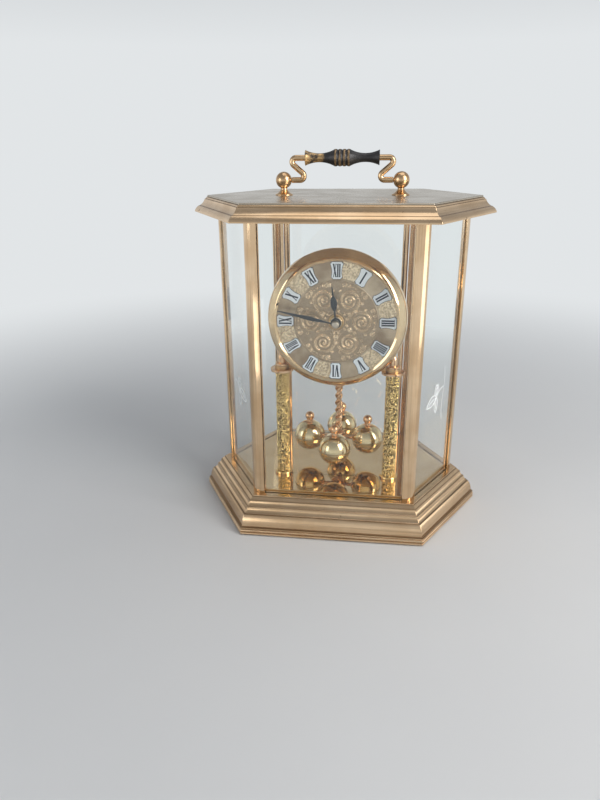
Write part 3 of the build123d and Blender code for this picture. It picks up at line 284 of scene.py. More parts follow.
# %% Brass, bronze, steel and nickel
along_sides, along_posts, along_cap = (26, 26, 1900), (1900, 1900, 22), (30, 2600, 30)
base_corners = (0.0, 24.0, (2.3, 4.4, 5.4, 13.25, 17.2, 20.5, 22.4))
cap_corners = (192.0, 204.0, (196.8, 200.85, 201.9))
tan_light, tan_dark = (0.85, 0.615, 0.390), (0.70, 0.475, 0.275)
brass("base_brass", tan_light, tan_dark, (0.11, 0.23), 42, along_sides, 0.8, base_corners)
brass("rim_brass", tan_light, tan_dark, (0.13, 0.26), 42, along_sides, 0.8, cap_corners)
brass("case_brass", tan_light, tan_dark, (0.16, 0.28), 55, along_sides)
brass("post_brass", (0.88, 0.645, 0.415), (0.72, 0.490, 0.285), (0.05, 0.12), 50, along_posts)
brass("cap_brass", (0.64, 0.565, 0.460), (0.53, 0.455, 0.355), (0.18, 0.32), 45, along_cap, 0.5)
brass("polished_brass", (0.87, 0.65, 0.32), (0.76, 0.53, 0.24), (0.05, 0.14), 70)
brass("floor_brass", (0.84, 0.615, 0.355), (0.75, 0.520, 0.280), (0.02, 0.07), 40)
brass("bezel_brass", (0.87, 0.665, 0.420), (0.73, 0.520, 0.300), (0.05, 0.12), 60)
brass("antique_brass", (0.74, 0.52, 0.31), (0.52, 0.34, 0.185), (0.13, 0.26), 110, specks=0.35)
brass("rose_brass", (0.78, 0.545, 0.325), (0.58, 0.375, 0.205), (0.17, 0.30), 130)
brass("rose_polish", (0.84, 0.565, 0.345), (0.64, 0.385, 0.205), (0.07, 0.17), 160)
brass("bridge_brass", (0.72, 0.50, 0.25), (0.58, 0.38, 0.18), (0.24, 0.38), 60, along_cap)
brass("drum_bronze", (0.66, 0.505, 0.315), (0.50, 0.365, 0.210), (0.20, 0.34), 50)
brass("bright_steel", (0.70, 0.68, 0.64), (0.58, 0.55, 0.50), (0.12, 0.24), 90)
brass("dull_nickel", (0.56, 0.50, 0.42), (0.44, 0.38, 0.31), (0.28, 0.40), 200)
print(len(finishes), "kinds of bright metal")

# %% [markdown]
# ## The grip, blackened and worn
# The handle's grip was dark bronze once. Hands have rubbed it through to brass on its ridges and at its
# left end. Painting that by eye would need a texture, but the grip is turned about a straight axis, so
# the distance from that axis tells a ridge from a groove, and that distance drives the wear.

# %% Dark bronze, rubbed on its ridges
grip_low, grip_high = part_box("bail_grip")
grip_axis = (grip_low + grip_high) / 2
grip_radius = (grip_high.z - grip_low.z) / 2
worn_end, worn_fade = 12.5 * mm, 6.0 * mm


def worn_bronze():
    finish = Finish("dark_bronze")
    x, y, z = finish.axes()
    out = (y ** 2 + (z - grip_axis.z) ** 2) ** 0.5 / grip_radius
    scuff = finish.cloud(240, detail=5.0, roughness=0.68)
    rub = (scuff - 0.5) * 1.7
    ridge = finish.step(out + (scuff - 0.5) * 0.10, 0.97, 1.00)
    left = finish.step((grip_low.x + worn_end - x) / worn_fade + rub, 0.1, 0.7)
    left = left * finish.step(scuff, 0.36, 0.56)
    worn = finish.node("Math", {"operation": "MAXIMUM"}, {0: ridge * 0.45, 1: left * 0.95})
    black = finish.blend(scuff, (0.018, 0.018, 0.020), (0.072, 0.068, 0.068))
    finish.feed("base_color", finish.blend(worn, black, (0.64, 0.42, 0.20)))
    finish.feed("metallic", 0.55 + worn * 0.45)
    finish.feed("roughness", 0.36 - worn * 0.12 + scuff * 0.10)
    finish.relief(scuff, 0.04)


worn_bronze()
print("grip radius", round(grip_radius / mm, 2), "mm")

# %% [markdown]
# ## Clear glass
# A pane is two millimetres of float glass, faintly green. A shader that only refracts would keep the lamps
# out, because light that is bent is hard for a renderer to find. Rays that look for a lamp therefore pass
# straight through a Transparent shader, and rays from the eye still meet real glass. Frosting is white and
# rough, dense in its lines and thin between them.

# %% Glass and frosting
def glass():
    finish = Finish("clear_glass", base_color=(0.970, 0.988, 0.982), ior=1.45, transmission_weight=1.0)
    wipe = finish.cloud(24, (1, 1, 0.35), detail=4.0)
    finish.feed("roughness", finish.step(wipe, 0.52, 0.85) * 0.05)
    clear = finish.node("BsdfTransparent", {}, {"Color": (0.97, 0.985, 0.98, 1)})
    finish.mix_in(finish.rays("Shadow", "Diffuse"), clear)


glass()
for name, alpha in (("frosted_line", 0.92), ("frosted_fill", 0.30)):
    frost = Finish(name, base_color=(0.95, 0.975, 0.98), specular_ior_level=0.3, alpha=alpha)
    frost.feed("roughness", 0.55 + frost.cloud(1800) * 0.3)
    frost.relief(frost.cloud(5200), 0.03)
print("glass and frosting ready")

# %% [markdown]
# ## The columns' gold
# The two columns are cast tubes with a bark-like skin, gilded. The crests keep the bright gold, and the
# pits are coloured dark brown as painted shade. The relief is real geometry further down, and it keeps its
# height at each point of the mesh in an attribute named bark, so that the colour can follow the very same
# relief.

# %% Gold with painted shade in the pits
def bark_gold():
    finish = Finish("column_gold", metallic=1.0)
    height = finish.node("Attribute", {"attribute_name": "bark"}, out="Fac")
    grit = finish.cloud(1500)
    unshaded_crest = finish.step(height + (grit - 0.5) * 0.30, 0.25, 0.50)
    # Painted shade: low parts of the bark are coloured dark brown, and high parts keep the gold.
    finish.feed("base_color", finish.blend(unshaded_crest, (0.13, 0.072, 0.018), (0.98, 0.740, 0.315)))
    finish.feed("roughness", 0.30 - unshaded_crest * 0.23 + grit * 0.06)
    finish.relief(grit, 0.06)


bark_gold()
print("column gold ready")

# %% [markdown]
# ## Dial finishes
# The dial plate is a champagne bronze, spun to a satin so its light runs round the middle. Every second
# field between the numerals is stippled with a punch and coloured lighter as a painted glint, and the
# ground under the ornament is coloured darker as painted shade. All follow from polar coordinates about the
# hands'
# axis: the angle picks the fields, the distance the rings.

# %% Satin dial with stippled fields
dial_low, dial_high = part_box("dial_plate")
dial_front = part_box("numeral_plaques")[1].y
hand_axis = Vector((0, dial_front, (dial_low.z + dial_high.z) / 2))
hour_ring, hour_fade = 26.0 * mm, 0.2 * mm
centre_ring, centre_fade = 25.0 * mm, 0.1 * mm


def dial_satin():
    finish = Finish("dial_bronze", metallic=1.0)
    x, _, z = finish.axes()
    up = z - hand_axis.z
    out = (x ** 2 + up ** 2) ** 0.5
    turn = finish.node("Math", {"operation": "ARCTAN2"}, {0: x, 1: up}) / tau * 6 + 6
    share = finish.node("Math", {"operation": "FRACT"}, {0: turn})
    outside = finish.step(out, hour_ring - hour_fade, hour_ring + hour_fade)
    field = finish.step(abs(share - 0.25), 0.205, 0.175) * outside
    inner = finish.step(out, centre_ring + centre_fade, centre_ring - centre_fade)
    curls = finish.cloud(950, roughness=0.6)
    grit = finish.cloud(2300, detail=2.0)
    patch = finish.cloud(48, detail=4.0)
    spin = finish.node("TexNoise", {"noise_dimensions": "1D"}, {"W": out, "Scale": 2600.0, "Detail": 2.0})
    plain = finish.blend(finish.step(patch, 0.35, 0.68), (0.31, 0.225, 0.150), (0.58, 0.465, 0.335))
    # Painted glint: the stippled fields are coloured lighter than the plain ones.
    punched_glint = finish.blend(finish.step(curls, 0.38, 0.62), (0.52, 0.395, 0.260), (0.86, 0.705, 0.495))
    # Painted shade: the ground under the scrollwork is coloured darker than the plain dial.
    ground = finish.blend(finish.step(grit, 0.35, 0.65), (0.27, 0.200, 0.132), (0.50, 0.395, 0.285))
    finish.feed("base_color", finish.blend(field, finish.blend(inner, plain, ground), punched_glint))
    finish.feed("roughness", 0.28 + patch * 0.10 - field * 0.06 + inner * 0.06)
    finish.relief(field * curls * 7 + (1 - field) * spin * 0.25 + inner * grit * 4, 0.04)


dial_satin()
# Painted highlight: the scrolls get a lighter copy of the dial's bronze.
brass("ornament_brass", (0.88, 0.715, 0.515), (0.66, 0.520, 0.360), (0.07, 0.14), 160)
print("dial face at y", round(dial_front / mm, 2), "mm, axis at z", round(hand_axis.z / mm, 2), "mm")

# %% [markdown]
# ## Enamel, ink and paint
# The numeral plaques are white enamel with a bluish tone, the numerals a dark navy print, and the hands a
# blue-black paint. None of them is one flat colour: enamel pools a little, print wears thin in places, and
# paint has a fine skin.

# %% Enamel, ink and hand black
enamel = Finish("plaque_enamel", coat_weight=0.5, coat_roughness=0.06)
enamel.grain(enamel.cloud(240), (0.84, 0.88, 0.93), (0.93, 0.95, 0.97), 0.22, 0.14, 0.03)

ink = Finish("numeral_ink", specular_ior_level=0.25)
thin = ink.cloud(900)
ink.feed("base_color", ink.blend(ink.step(thin, 0.45, 0.75), (0.008, 0.016, 0.036), (0.024, 0.042, 0.072)))
ink.feed("roughness", 0.35 + thin * 0.2)

paint = Finish("hand_black", coat_weight=0.3, coat_roughness=0.15)
skin = paint.cloud(700, detail=4.0)
paint.grain(skin, (0.006, 0.009, 0.014), (0.022, 0.030, 0.040), 0.30, 0.16, 0.02)
print("enamel, ink and paint ready")

# %% [markdown]
# ## Plastics, wood, felt and the works
# From behind, the door shows a moulded movement with a cell in its cradle. The base and the cap are filled
# with wood and the clock rests on felt. These are seen less, but they are seen, so each has its own grain.

# %% Moulded plastic
mould_grain = 2600


def moulded(name, light, dark, rough):
    finish = Finish(name)
    spark = finish.cloud(mould_grain, detail=2.0)
    worn = finish.cloud(60)
    finish.feed("base_color", finish.blend(worn * 0.6 + spark * 0.4, dark, light))
    finish.feed("roughness", rough + spark * 0.16)
    finish.relief(spark, 0.04)


moulded("movement_plastic", (0.060, 0.060, 0.064), (0.030, 0.030, 0.033), 0.42)
moulded("gear_plastic", (0.80, 0.79, 0.74), (0.70, 0.68, 0.62), 0.34)
moulded("circuit_green", (0.045, 0.22, 0.10), (0.025, 0.14, 0.06), 0.30)
moulded("knob_plastic", (0.62, 0.60, 0.55), (0.48, 0.46, 0.42), 0.38)
print("plastics ready")


# %% Wood and felt
def wood():
    finish = Finish("board_wood")
    rings = finish.node("TexWave", {"bands_direction": "Y"}, {
        "Vector": finish.place((0.25, 1, 1)), "Scale": 55.0, "Distortion": 5.0, "Detail": 3.0})
    pores = finish.cloud(500, (0.08, 1, 1), detail=4.0)
    tone = finish.blend(rings, (0.56, 0.41, 0.25), (0.70, 0.54, 0.36))
    finish.feed("base_color", finish.blend(finish.step(pores, 0.60, 0.72), tone, (0.28, 0.16, 0.08)))
    finish.feed("roughness", 0.55 + pores * 0.2)
    finish.relief(pores, 0.1)


wood()
felt = Finish("base_felt", sheen_weight=0.4, sheen_roughness=0.5)
hair = felt.cloud(1600, (1, 0.4, 1), detail=5.0, roughness=0.7)
felt.grain(hair, (0.022, 0.060, 0.034), (0.060, 0.130, 0.078), 0.85, 0.1, 0.4)
print("wood and felt ready")

# %% Copper wire, cell sleeve and magnet
sleeve_band, sleeve_end, sleeve_fade = 8.0 * mm, 23.6 * mm, 0.2 * mm


def sleeve():
    finish = Finish("cell_label", metallic=0.75, coat_weight=0.4)
    x = finish.axes()[0]
    band = finish.step(x, sleeve_band, sleeve_band + sleeve_fade)
    crease = finish.cloud(300, (1, 0.3, 0.3))
    tone = finish.blend(band, (0.020, 0.024, 0.032), (0.62, 0.33, 0.14))
    end = finish.step(abs(x), sleeve_end, sleeve_end + sleeve_fade)
    finish.feed("base_color", finish.blend(end, tone, (0.66, 0.65, 0.62)))
    finish.feed("roughness", 0.24 + crease * 0.16)
    finish.relief(crease, 0.04)


copper = Finish("coil_copper", metallic=1.0)
turns = copper.node("TexWave", {"bands_direction": "X"}, {"Vector": copper.place(), "Scale": 900.0})
copper.grain(turns, (0.36, 0.12, 0.045), (0.74, 0.33, 0.14), 0.26, 0.12, 0.1)
sleeve()
brass("magnet", (0.42, 0.42, 0.43), (0.30, 0.30, 0.31), (0.22, 0.34), 120)
print(len(finishes), "finishes so far")

# %% [markdown]
# ## The pendulum's balls
# Each ball is two pressed halves with a seam round its middle, and a redder turned knob on top. Ball and
# knob are one solid piece here, so the height above the ball's foot tells them apart.

# %% Pale balls with a seam and a red knob
ball_low, ball_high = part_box("pendulum_balls")
ball_size, seam_edge, seam_half = 21.0 * mm, 0.62 * mm, 0.30 * mm


def ball_brass():
    finish = Finish("ball_brass", metallic=1.0)
    height = finish.axes()[2] - ball_low.z
    patch = finish.cloud(140, detail=4.0)
    knob = finish.step(height, ball_size * 0.955, ball_size)
    seam = finish.step(abs(height - ball_size / 2), seam_edge, seam_half)
    pale = finish.blend(patch, (0.72, 0.565, 0.315), (0.83, 0.680, 0.420))
    colour = finish.blend(knob, pale, (0.76, 0.46, 0.25))
    finish.feed("base_color", finish.blend(seam * 0.6, colour, (0.20, 0.11, 0.04)))
    finish.feed("roughness", 0.10 + patch * 0.10 + seam * 0.15)


ball_brass()
print("balls from", round(ball_low.z / mm, 1), "to", round(ball_high.z / mm, 1), "mm")

# %% [markdown]
# ## Soft edges on the solid pieces
# A sheet of brass has no perfectly sharp edge: a hair's breadth of rounding catches the light, and on this
# case the mitred corners of the base and the cap show as pale lines for that reason. The solid pieces keep
# their shape, and modifiers soften them: Weld joins the triangles, Decimate takes away the lines inside
# flat faces, Triangulate cuts the large faces again, because a ring left whole would close over its
# opening, Bevel rounds the sharp edges, and Weighted Normal keeps the light even beside them. Glass and
# plates stay flat shaded, since a smoothed pane would bend the view like a lens.

# %% Round the edges of a solid piece
flat_plates = ("door_pane", "cap_plate", "floor_plate", "train_plate", "circuit_board", "motor_core",
               "battery_contacts")
flat_nodes = [node for node in nodes if node.startswith("pane_") or node in flat_plates]
weld_gap, flat_angle, sharp_angle, edge_steps = 0.002 * mm, radians(0.4), radians(28), 2


def soften(node, width):
    solid = nodes[node]
    solid.data.polygons.foreach_set("use_smooth", [node not in flat_nodes] * len(solid.data.polygons))
    solid.modifiers.new("join", "WELD").merge_threshold = weld_gap
    flat = solid.modifiers.new("flat", "DECIMATE")
    flat.decimate_type = "DISSOLVE"
    flat.angle_limit = flat_angle
    solid.modifiers.new("cut", "TRIANGULATE").min_vertices = 5
    edge = solid.modifiers.new("edge", "BEVEL")
    edge.width = width * mm
    edge.segments = edge_steps
    edge.limit_method = "ANGLE"
    edge.angle_limit = sharp_angle
    edge.use_clamp_overlap = False
    if node not in flat_nodes:
        solid.modifiers.new("light", "WEIGHTED_NORMAL").weight = 90


fine_edge = 0.06
edge_widths = {
    "base_moulding": 0.18, "cap_moulding": 0.20, "cap_plate": 0.22, "floor_plate": 0.25,
    "support_bridge": 0.22, "column_feet": 0.15, "column_capitals": 0.22, "movement_housing": 0.4,
    "movement_cover": 0.3, "minute_hand": 0.14, "hour_hand": 0.14, "numeral_plaques": 0.12,
    "dial_nut": 0.15, "base_felt": 0.3, "setting_knob": 0.05, "handle_post_nuts": 0.15}
strips = [node for node in nodes if node.startswith("post_") or "stile" in node]
edge_widths.update({node: 0.12 for node in strips})
edge_widths.update({node: 0.18 for node in nodes if node.startswith("pane_") or node == "door_pane"})
for node in nodes:
    soften(node, edge_widths.get(node, fine_edge))
print(len(edge_widths), "pieces with their own edge width")

# %% [markdown]
# ## A finish for every solid piece
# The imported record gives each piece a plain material. Pieces of one brass were polished and have aged
# differently, so some wear a finish of their own instead.

# %% Give every solid piece its finish
wearers = {
    "base_brass": ["base_moulding"], "rim_brass": ["cap_moulding"], "floor_brass": ["floor_plate"],
    "bezel_brass": ["bezel"], "drum_bronze": ["movement_housing"], "knob_plastic": ["setting_knob"],
    "rose_brass": ["handle_post_left", "handle_post_right"], "ball_brass": ["pendulum_balls"],
    "rose_polish": ["pendulum_stem", "pendulum_arms", "finial_nuts", "column_capitals"],
    "polished_brass": ["column_feet", "door_knob"], "bridge_brass": ["dial_nut"],
    "dull_nickel": ["hand_nut"], "post_brass": strips}
own_finish = {node: finish for finish, wearing in wearers.items() for node in wearing}
for node, solid in nodes.items():
    finish = finishes[own_finish.get(node, slot_of[node])]
    solid.data.materials.clear()
    solid.data.materials.append(finish.material)
print("finishes laid on", len(nodes), "solid pieces")

# %% [markdown]
# ## Making new pieces
# What the solid model leaves out, such as ornament and numerals, is made here as meshes. One function
# turns lists of points and faces into an object, lays a finish on it, and ties it to the body it moves
# with, so that no piece is ever left floating.

# %% A new piece from points and faces
def piece(name, points, faces, body, slot, finish, smooth=True):
    mesh = bpy.data.meshes.new(name)
    mesh.from_pydata(points, [], faces)
    mesh.materials.append(finishes[finish].material)
    mesh.polygons.foreach_set("use_smooth", [smooth] * len(faces))
    made = bpy.data.objects.new(name, mesh)
    bpy.context.scene.collection.objects.link(made)
    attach(made, body)
    shaper = bmesh.new()
    shaper.from_mesh(mesh)
    bmesh.ops.recalc_face_normals(shaper, faces=shaper.faces)
    shaper.to_mesh(mesh)
    shaper.free()
    print(name, "has", len(points), "points")
    return made


def gather(shapes):
    """Join several (points, faces) shapes into one."""
    points, faces = [], []
    for shape_points, shape_faces in shapes:
        start = len(points)
        points += shape_points
        faces += [tuple(start + corner for corner in face) for face in shape_faces]
    return points, faces


def grid_faces(rows, columns, closed=False):
    """Faces between rows of points; closed joins the last column to the first."""
    last = columns if closed else columns - 1
    return [
        (row * columns + col, row * columns + (col + 1) % columns,
         (row + 1) * columns + (col + 1) % columns, (row + 1) * columns + col)
        for row in range(rows - 1) for col in range(last)
    ]


print("new pieces can be made")

# %% [markdown]
# ## Columns with a bark skin
# Each column is a tube with a cast skin like fine bark. A bump texture would lie flat along its outline,
# so the skin is modelled: points round the tube move out and in with a cell pattern that is stretched
# upwards. The noise has a fixed seed, so that every run gives the same skin, and the height of every point
# is kept as an attribute for the gold to read.

# %% Two bark columns
bark_around, bark_rows = 132, 280
bark_grain = (1.25, 1.25, 0.80)
skin_depth, skin_level = 0.95 * mm, 0.62
noise.seed_set(3)


def bark(point):
    """Height of the skin from 0 to 1 at a point in millimetres, stretched along the column."""
    spot = Vector([place * grain for place, grain in zip(point, bark_grain)])
    gaps, _ = noise.voronoi(spot + noise.noise_vector(spot * 0.8) * 0.5)
    cells = min(1.0, (gaps[1] - gaps[0]) * 1.7)
    return 0.72 * cells + 0.28 * (noise.noise(spot * 2.6) * 0.5 + 0.5)


def bark_column(node):
    low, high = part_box(node)
    middle = (low + high) / 2
    radius = (high.x - low.x) / 2
    points, heights = [], []
    for row in range(bark_rows):
        z = low.z + (high.z - low.z) * row / (bark_rows - 1)
        for col in range(bark_around):
            angle = tau * col / bark_around
            way = Vector((cos(angle), sin(angle), 0))
            height = bark((way * radius + Vector((middle.x, 0, z))) / mm)
            reach = radius + (height - skin_level) * skin_depth
            points.append((middle.x + way.x * reach, middle.y + way.y * reach, z))
            heights.append(height)
    faces = grid_faces(bark_rows, bark_around, closed=True)
    last = (bark_rows - 1) * bark_around
    faces += [tuple(range(bark_around)), tuple(range(last, last + bark_around))]
    made = piece(node + "_bark", points, faces, "case", "column_gold", "column_gold")
    made.data.attributes.new("bark", "FLOAT", "POINT").data.foreach_set("value", heights)
    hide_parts(node)


bark_column("column_left")
bark_column("column_right")

# %% [markdown]
# ## Scrollwork in the middle of the dial
# The dial's centre is pressed with a common pattern of leafy scrolls, so close together that it glitters. A
# scroll is a spiral, and a half-round strip laid along a spiral is a raised scroll. Six large ones stand in
# a ring, each a thick and a thin spiral edged with leaves, and small ones fill the gaps towards the rim and
# towards the middle. One sixth is drawn, and every second copy is its mirror image.

# %% Spirals and half-round strips
round_cut = [(-1, 0), (-0.80, 0.60), (-0.30, 0.95), (0.30, 0.95), (0.80, 0.60), (1, 0)]
curl_in, curl_ease = 0.86, 0.85
sunk = 0.02


def coil(middle, outer, turns, start, hand, steps):
    """Places and headings along a spiral, from its rim inwards; hand 1 winds anticlockwise."""
    path = []
    for step in range(steps + 1):
        share = step / steps
        angle = radians(start) + hand * tau * turns * share
        reach = outer * (1 - curl_in * share ** curl_ease)
        path.append((Vector(middle) + Vector((cos(angle), sin(angle))) * reach, angle + hand * pi / 2))
    return path


def strip(path, width, height):
    """Half-round strip along a path, thin where it starts and full where it curls up."""
    points = []
    for index, (place, heading) in enumerate(path):
        swell = 0.30 + 0.70 * min(1, 3.2 * index / len(path))
        side = Vector((-sin(heading), cos(heading)))
        for across, up in round_cut:
            spot = place + side * across * width * swell
            points.append((spot.x, spot.y, up * height * swell - sunk))
    return points, grid_faces(len(path), len(round_cut))


print("a strip is", len(round_cut), "points across")

# %% Beads and leaves
bud_lifts = (0, 0.5, 0.95, 1.35)
rib_cut = [(-1, 0), (-0.55, 0.55), (0, 1.0), (0.55, 0.55), (1, 0)]
leaf_steps, fringe_height = 8, 0.38


def bud(middle, radius, height, around=10):
    """A round bead, half sunk in the dial."""
    points = [
        (middle[0] + radius * cos(lift) * cos(tau * k / around),
         middle[1] + radius * cos(lift) * sin(tau * k / around), height * sin(lift) - sunk)
        for lift in bud_lifts for k in range(around)
    ]
    top = tuple(range(len(points) - around, len(points)))
    return points, grid_faces(len(bud_lifts), around, closed=True) + [top]


def leaf(root, heading, length, width, height, bend=0.0):
    """A pointed leaf with a raised middle rib."""
    points = []
    for step in range(leaf_steps + 1):
        share = step / leaf_steps
        turn = heading + bend * share
        spot = Vector(root) + Vector((cos(turn), sin(turn))) * length * share
        half = width * (sin(pi * share ** 0.75) * 0.96 + 0.04 * (1 - share))
        rise = height * (0.35 + 0.65 * sin(pi * min(1, share + 0.15)))
        side = Vector((-sin(turn), cos(turn)))
        for across, up in rib_cut:
            edge = spot + side * across * half
            points.append((edge.x, edge.y, up * rise - sunk))
    return points, grid_faces(leaf_steps + 1, len(rib_cut))


def fringe(path, every, lean, length, width, bend):
    """Leaves along a path that lean away by an angle in degrees; below 0, to the other side."""
    return [leaf(place, heading + radians(lean), length, width, fringe_height, bend)
            for place, heading in path[2::every]]


print("a leaf has", (leaf_steps + 1) * len(rib_cut), "points")

# %% A sixth of the scrollwork
large_middle = (0.0, 14.9)
small_scrolls = (((6.9, 21.4), 1.90, 1.7, 215, -1), ((4.2, 22.6), 1.15, 1.4, 20, 1),
                 ((4.6, 8.1), 1.60, 1.6, 100, -1), ((2.1, 6.6), 0.85, 1.3, 180, 1),
                 ((7.7, 17.4), 0.95, 1.3, 60, 1), ((6.4, 11.2), 0.90, 1.3, 300, -1))
rim_leaves = (((0.0, 22.3), 60), ((0.0, 22.3), 120), ((1.6, 22.4), 40), ((-1.6, 22.4), 140))


def large_scroll():
    """A thick and a thin spiral straight up from the hands' axis, with leaves along them."""
    large, thin = coil(large_middle, 7.4, 2.4, -95, 1, 150), coil(large_middle, 6.5, 2.2, -80, 1, 140)
    heart = large[-1][0]
    shapes = [strip(large, 0.34, 0.52), strip(thin, 0.20, 0.40), bud(heart, 0.60, 0.46)]
    shapes += fringe(large[:70], 2, -62, 1.75, 0.24, 0.55)
    shapes += fringe(thin[6:120], 3, 62, 1.05, 0.21, -0.6)
    return shapes + [leaf(heart, tau * k / 7, 1.7, 0.30, 0.42, 0.4) for k in range(7)]


def sixth():
    """The large scroll, with pairs of small ones round it."""
    shapes = large_scroll()
    for (x, y), outer, turns, start, hand in small_scrolls:
        for side, begin in ((1, start), (-1, 180 - start)):
            path = coil((side * x, y), outer, turns, begin, side * hand, 44)
            shapes += [strip(path, 0.20 + 0.06 * outer, 0.30), bud(path[-1][0], 0.20 + 0.11 * outer, 0.30)]
            shapes += fringe(path[:26], 6, -60 * side * hand, 0.45 + 0.35 * outer, 0.22, 0.4 * side * hand)
    shapes += [leaf(root, radians(lean), 1.7, 0.33, 0.36) for root, lean in rim_leaves]
    return gather(shapes)


print(2 * len(small_scrolls), "small scrolls in a sixth")

# %% Six of them round the dial
bead_rings = ((110, 24.5, 0.32), (30, 5.6, 0.34))


def laid_on_dial(shapes):
    """Join shapes drawn in millimetres right of, above and out from the hands' axis."""
    points, faces = gather(shapes)
    axis = hand_axis
    return [(axis.x + x * mm, axis.y - out * mm, axis.z + y * mm) for x, y, out in points], faces


def turned(points, turn, side=1):
    """Turn points clockwise about the hands' axis; side -1 takes their mirror image first."""
    return [(side * x * cos(turn) + y * sin(turn), y * cos(turn) - side * x * sin(turn), out)
            for x, y, out in points]


def scrollwork():
    one, faces = sixth()
    shapes = [(turned(one, tau * (part + 0.5) / 6, 1 - 2 * (part % 2)), faces) for part in range(6)]
    for count, radius, size in bead_rings:
        for k in range(count):
            angle = tau * k / count
            shapes.append(bud((radius * sin(angle), radius * cos(angle)), size, 0.3, 8))
    return laid_on_dial(shapes)


# The scrollwork wears the lighter ornament finish, a painted highlight on the raised relief.
piece("dial_scrollwork", *scrollwork(), "case", "dial_bronze", "ornament_brass")

# %% [markdown]
# ## Numerals
# Each hour has a Roman numeral on its plaque, standing on the dial's middle, with four written as IIII. A
# letter is a few straight strokes, thick ones and thin ones, with a thin bar across each end. They are
# drawn flat, squeezed to fit the plaque, and raised by the thickness of a print.

# %% Strokes of the letters
letter_top, letter_foot, bar_half = 34.4, 27.0, 0.14
upright_half, thick_half, thin_half = 0.45, 0.48, 0.22
upright_width, slanted_width = 1.40, 2.9


def stroke(top, foot, half):
    """A straight stroke as four corners."""
    return [(top - half, letter_top), (top + half, letter_top),
            (foot + half, letter_foot), (foot - half, letter_foot)]


def bar(middle, half, level):
    """A thin bar that ends a stroke."""
    return [(middle + side * half, level + rise * bar_half)
            for side, rise in ((-1, -1), (1, -1), (1, 1), (-1, 1))]


def letter(sign, left):
    """Strokes of one letter from its left edge, and its width."""
    if sign == "I":
        middle = left + upright_width / 2
        ends = [bar(middle, 0.60, level) for level in (letter_top, letter_foot)]
        return [stroke(middle, middle, upright_half)] + ends, upright_width
    near, far = left + 0.55, left + 2.35
    if sign == "V":
        strokes = [stroke(near, left + 1.45, thick_half), stroke(far, left + 1.58, thin_half)]
        return strokes + [bar(near, 0.66, letter_top), bar(far, 0.50, letter_top)], slanted_width
    strokes = [stroke(near, far, thick_half), stroke(far, near, thin_half)]
    ends = [bar(near, 0.60, letter_top), bar(far, 0.50, letter_top)]
    ends += [bar(near, 0.50, letter_foot), bar(far, 0.60, letter_foot)]
    return strokes + ends, slanted_width


print("letters are", round(letter_top - letter_foot, 1), "mm high")

# %% Twelve numerals
hours = ["XII", "I", "II", "III", "IIII", "V", "VI", "VII", "VIII", "IX", "X", "XI"]
plaque_face = (hand_axis.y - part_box("numeral_plaques")[0].y) / mm
numeral_width, print_height = 4.7, 0.05


def raised(corners, low, high):
    """A flat outline given a thickness, in dial millimetres."""
    count = len(corners)
    points = [(x, y, low) for x, y in corners] + [(x, y, high) for x, y in corners]
    faces = [tuple(range(count)), tuple(range(count, 2 * count))]
    return points, faces + [(k, (k + 1) % count, count + (k + 1) % count, count + k) for k in range(count)]


def numerals():
    shapes = []
    for hour, word in enumerate(hours):
        strokes, width = [], 0.0
        for sign in word:
            more, wide = letter(sign, width)
            strokes += more
            width += wide
        squeeze = min(1.0, numeral_width / width)
        for corners in strokes:
            flat = [((x - width / 2) * squeeze, y) for x, y in corners]
            points, faces = raised(flat, plaque_face - sunk, plaque_face + print_height)
            shapes.append((turned(points, tau * hour / 12), faces))
    return laid_on_dial(shapes)


piece("numerals", *numerals(), "case", "hand_black", "numeral_ink", smooth=False)

# %% [markdown]
# ## A dark rim round each plaque
# A thin dark rim is laid round each plaque's edge. It follows the plaque's own waisted outline with its
# notched corners,
# drawn once and again a little smaller: the ribbon between the two is the rim.

# %% Plaque rims
notch, notch_turns = 0.9, (0, pi / 6, pi / 3, pi / 2)
side_steps = 8
rim_width, rim_foot, rim_top = 0.24, -0.30, 0.04


def plaque_outline(inset):
    """The outline of the plaque at twelve o'clock, drawn in by inset millimetres."""
    top, foot = 35.8 - inset, 25.5 + inset
    wide, waist, narrow = 4.1 - inset, 3.05 - inset, 3.4 - inset
    half = [(0, top)] + [(wide - notch * cos(a), top - notch * sin(a)) for a in notch_turns]
    for step in range(1, side_steps):
        share = step / side_steps
        x = wide * (1 - share) * (1 - 2 * share) + waist * 4 * share * (1 - share)
        x += narrow * share * (2 * share - 1)
        half.append((x, top - notch + (foot - top + 2 * notch) * share))
    half += [(narrow - notch * cos(a), foot + notch * sin(a)) for a in reversed(notch_turns)]
    half.append((0, foot))
    return half + [(-x, y) for x, y in half[-2:0:-1]]


def plaque_rims():
    outer, inner = plaque_outline(0.0), plaque_outline(rim_width)
    count = len(outer)
    points = [(*spot, plaque_face + level) for level in (rim_foot, rim_top) for spot in outer + inner]
    faces = []
    for k in range(count):
        after = (k + 1) % count
        faces.append((2 * count + k, 2 * count + after, 3 * count + after, 3 * count + k))
        faces.append((k, after, 2 * count + after, 2 * count + k))
        faces.append((count + k, count + after, 3 * count + after, 3 * count + k))
    return laid_on_dial([(turned(points, tau * hour / 12), faces) for hour in range(12)])


piece("plaque_rims", *plaque_rims(), "case", "hand_black", "numeral_ink", smooth=False)

# %% [markdown]
# ## Frosted sprigs on the glass
# The two front side panes carry a small frosted sprig each. Frosting is ground into the glass, so it is a
# skin with hardly any height: lightly ground petals, and denser lines round them. It is drawn flat and
# laid on the outer face of a pane by two directions, along the pane and up.

# %% A sprig drawn in the flat
fine_line, bold_line = 0.18, 0.26
petal_steps, rib_length = 14, 11
petals = ((188, 13.5, 3.0, 9), (110, 8.4, 1.9, -12), (76, 8.2, 1.8, 8), (-100, 10.5, 2.3, 10))
stem_at = 8.6


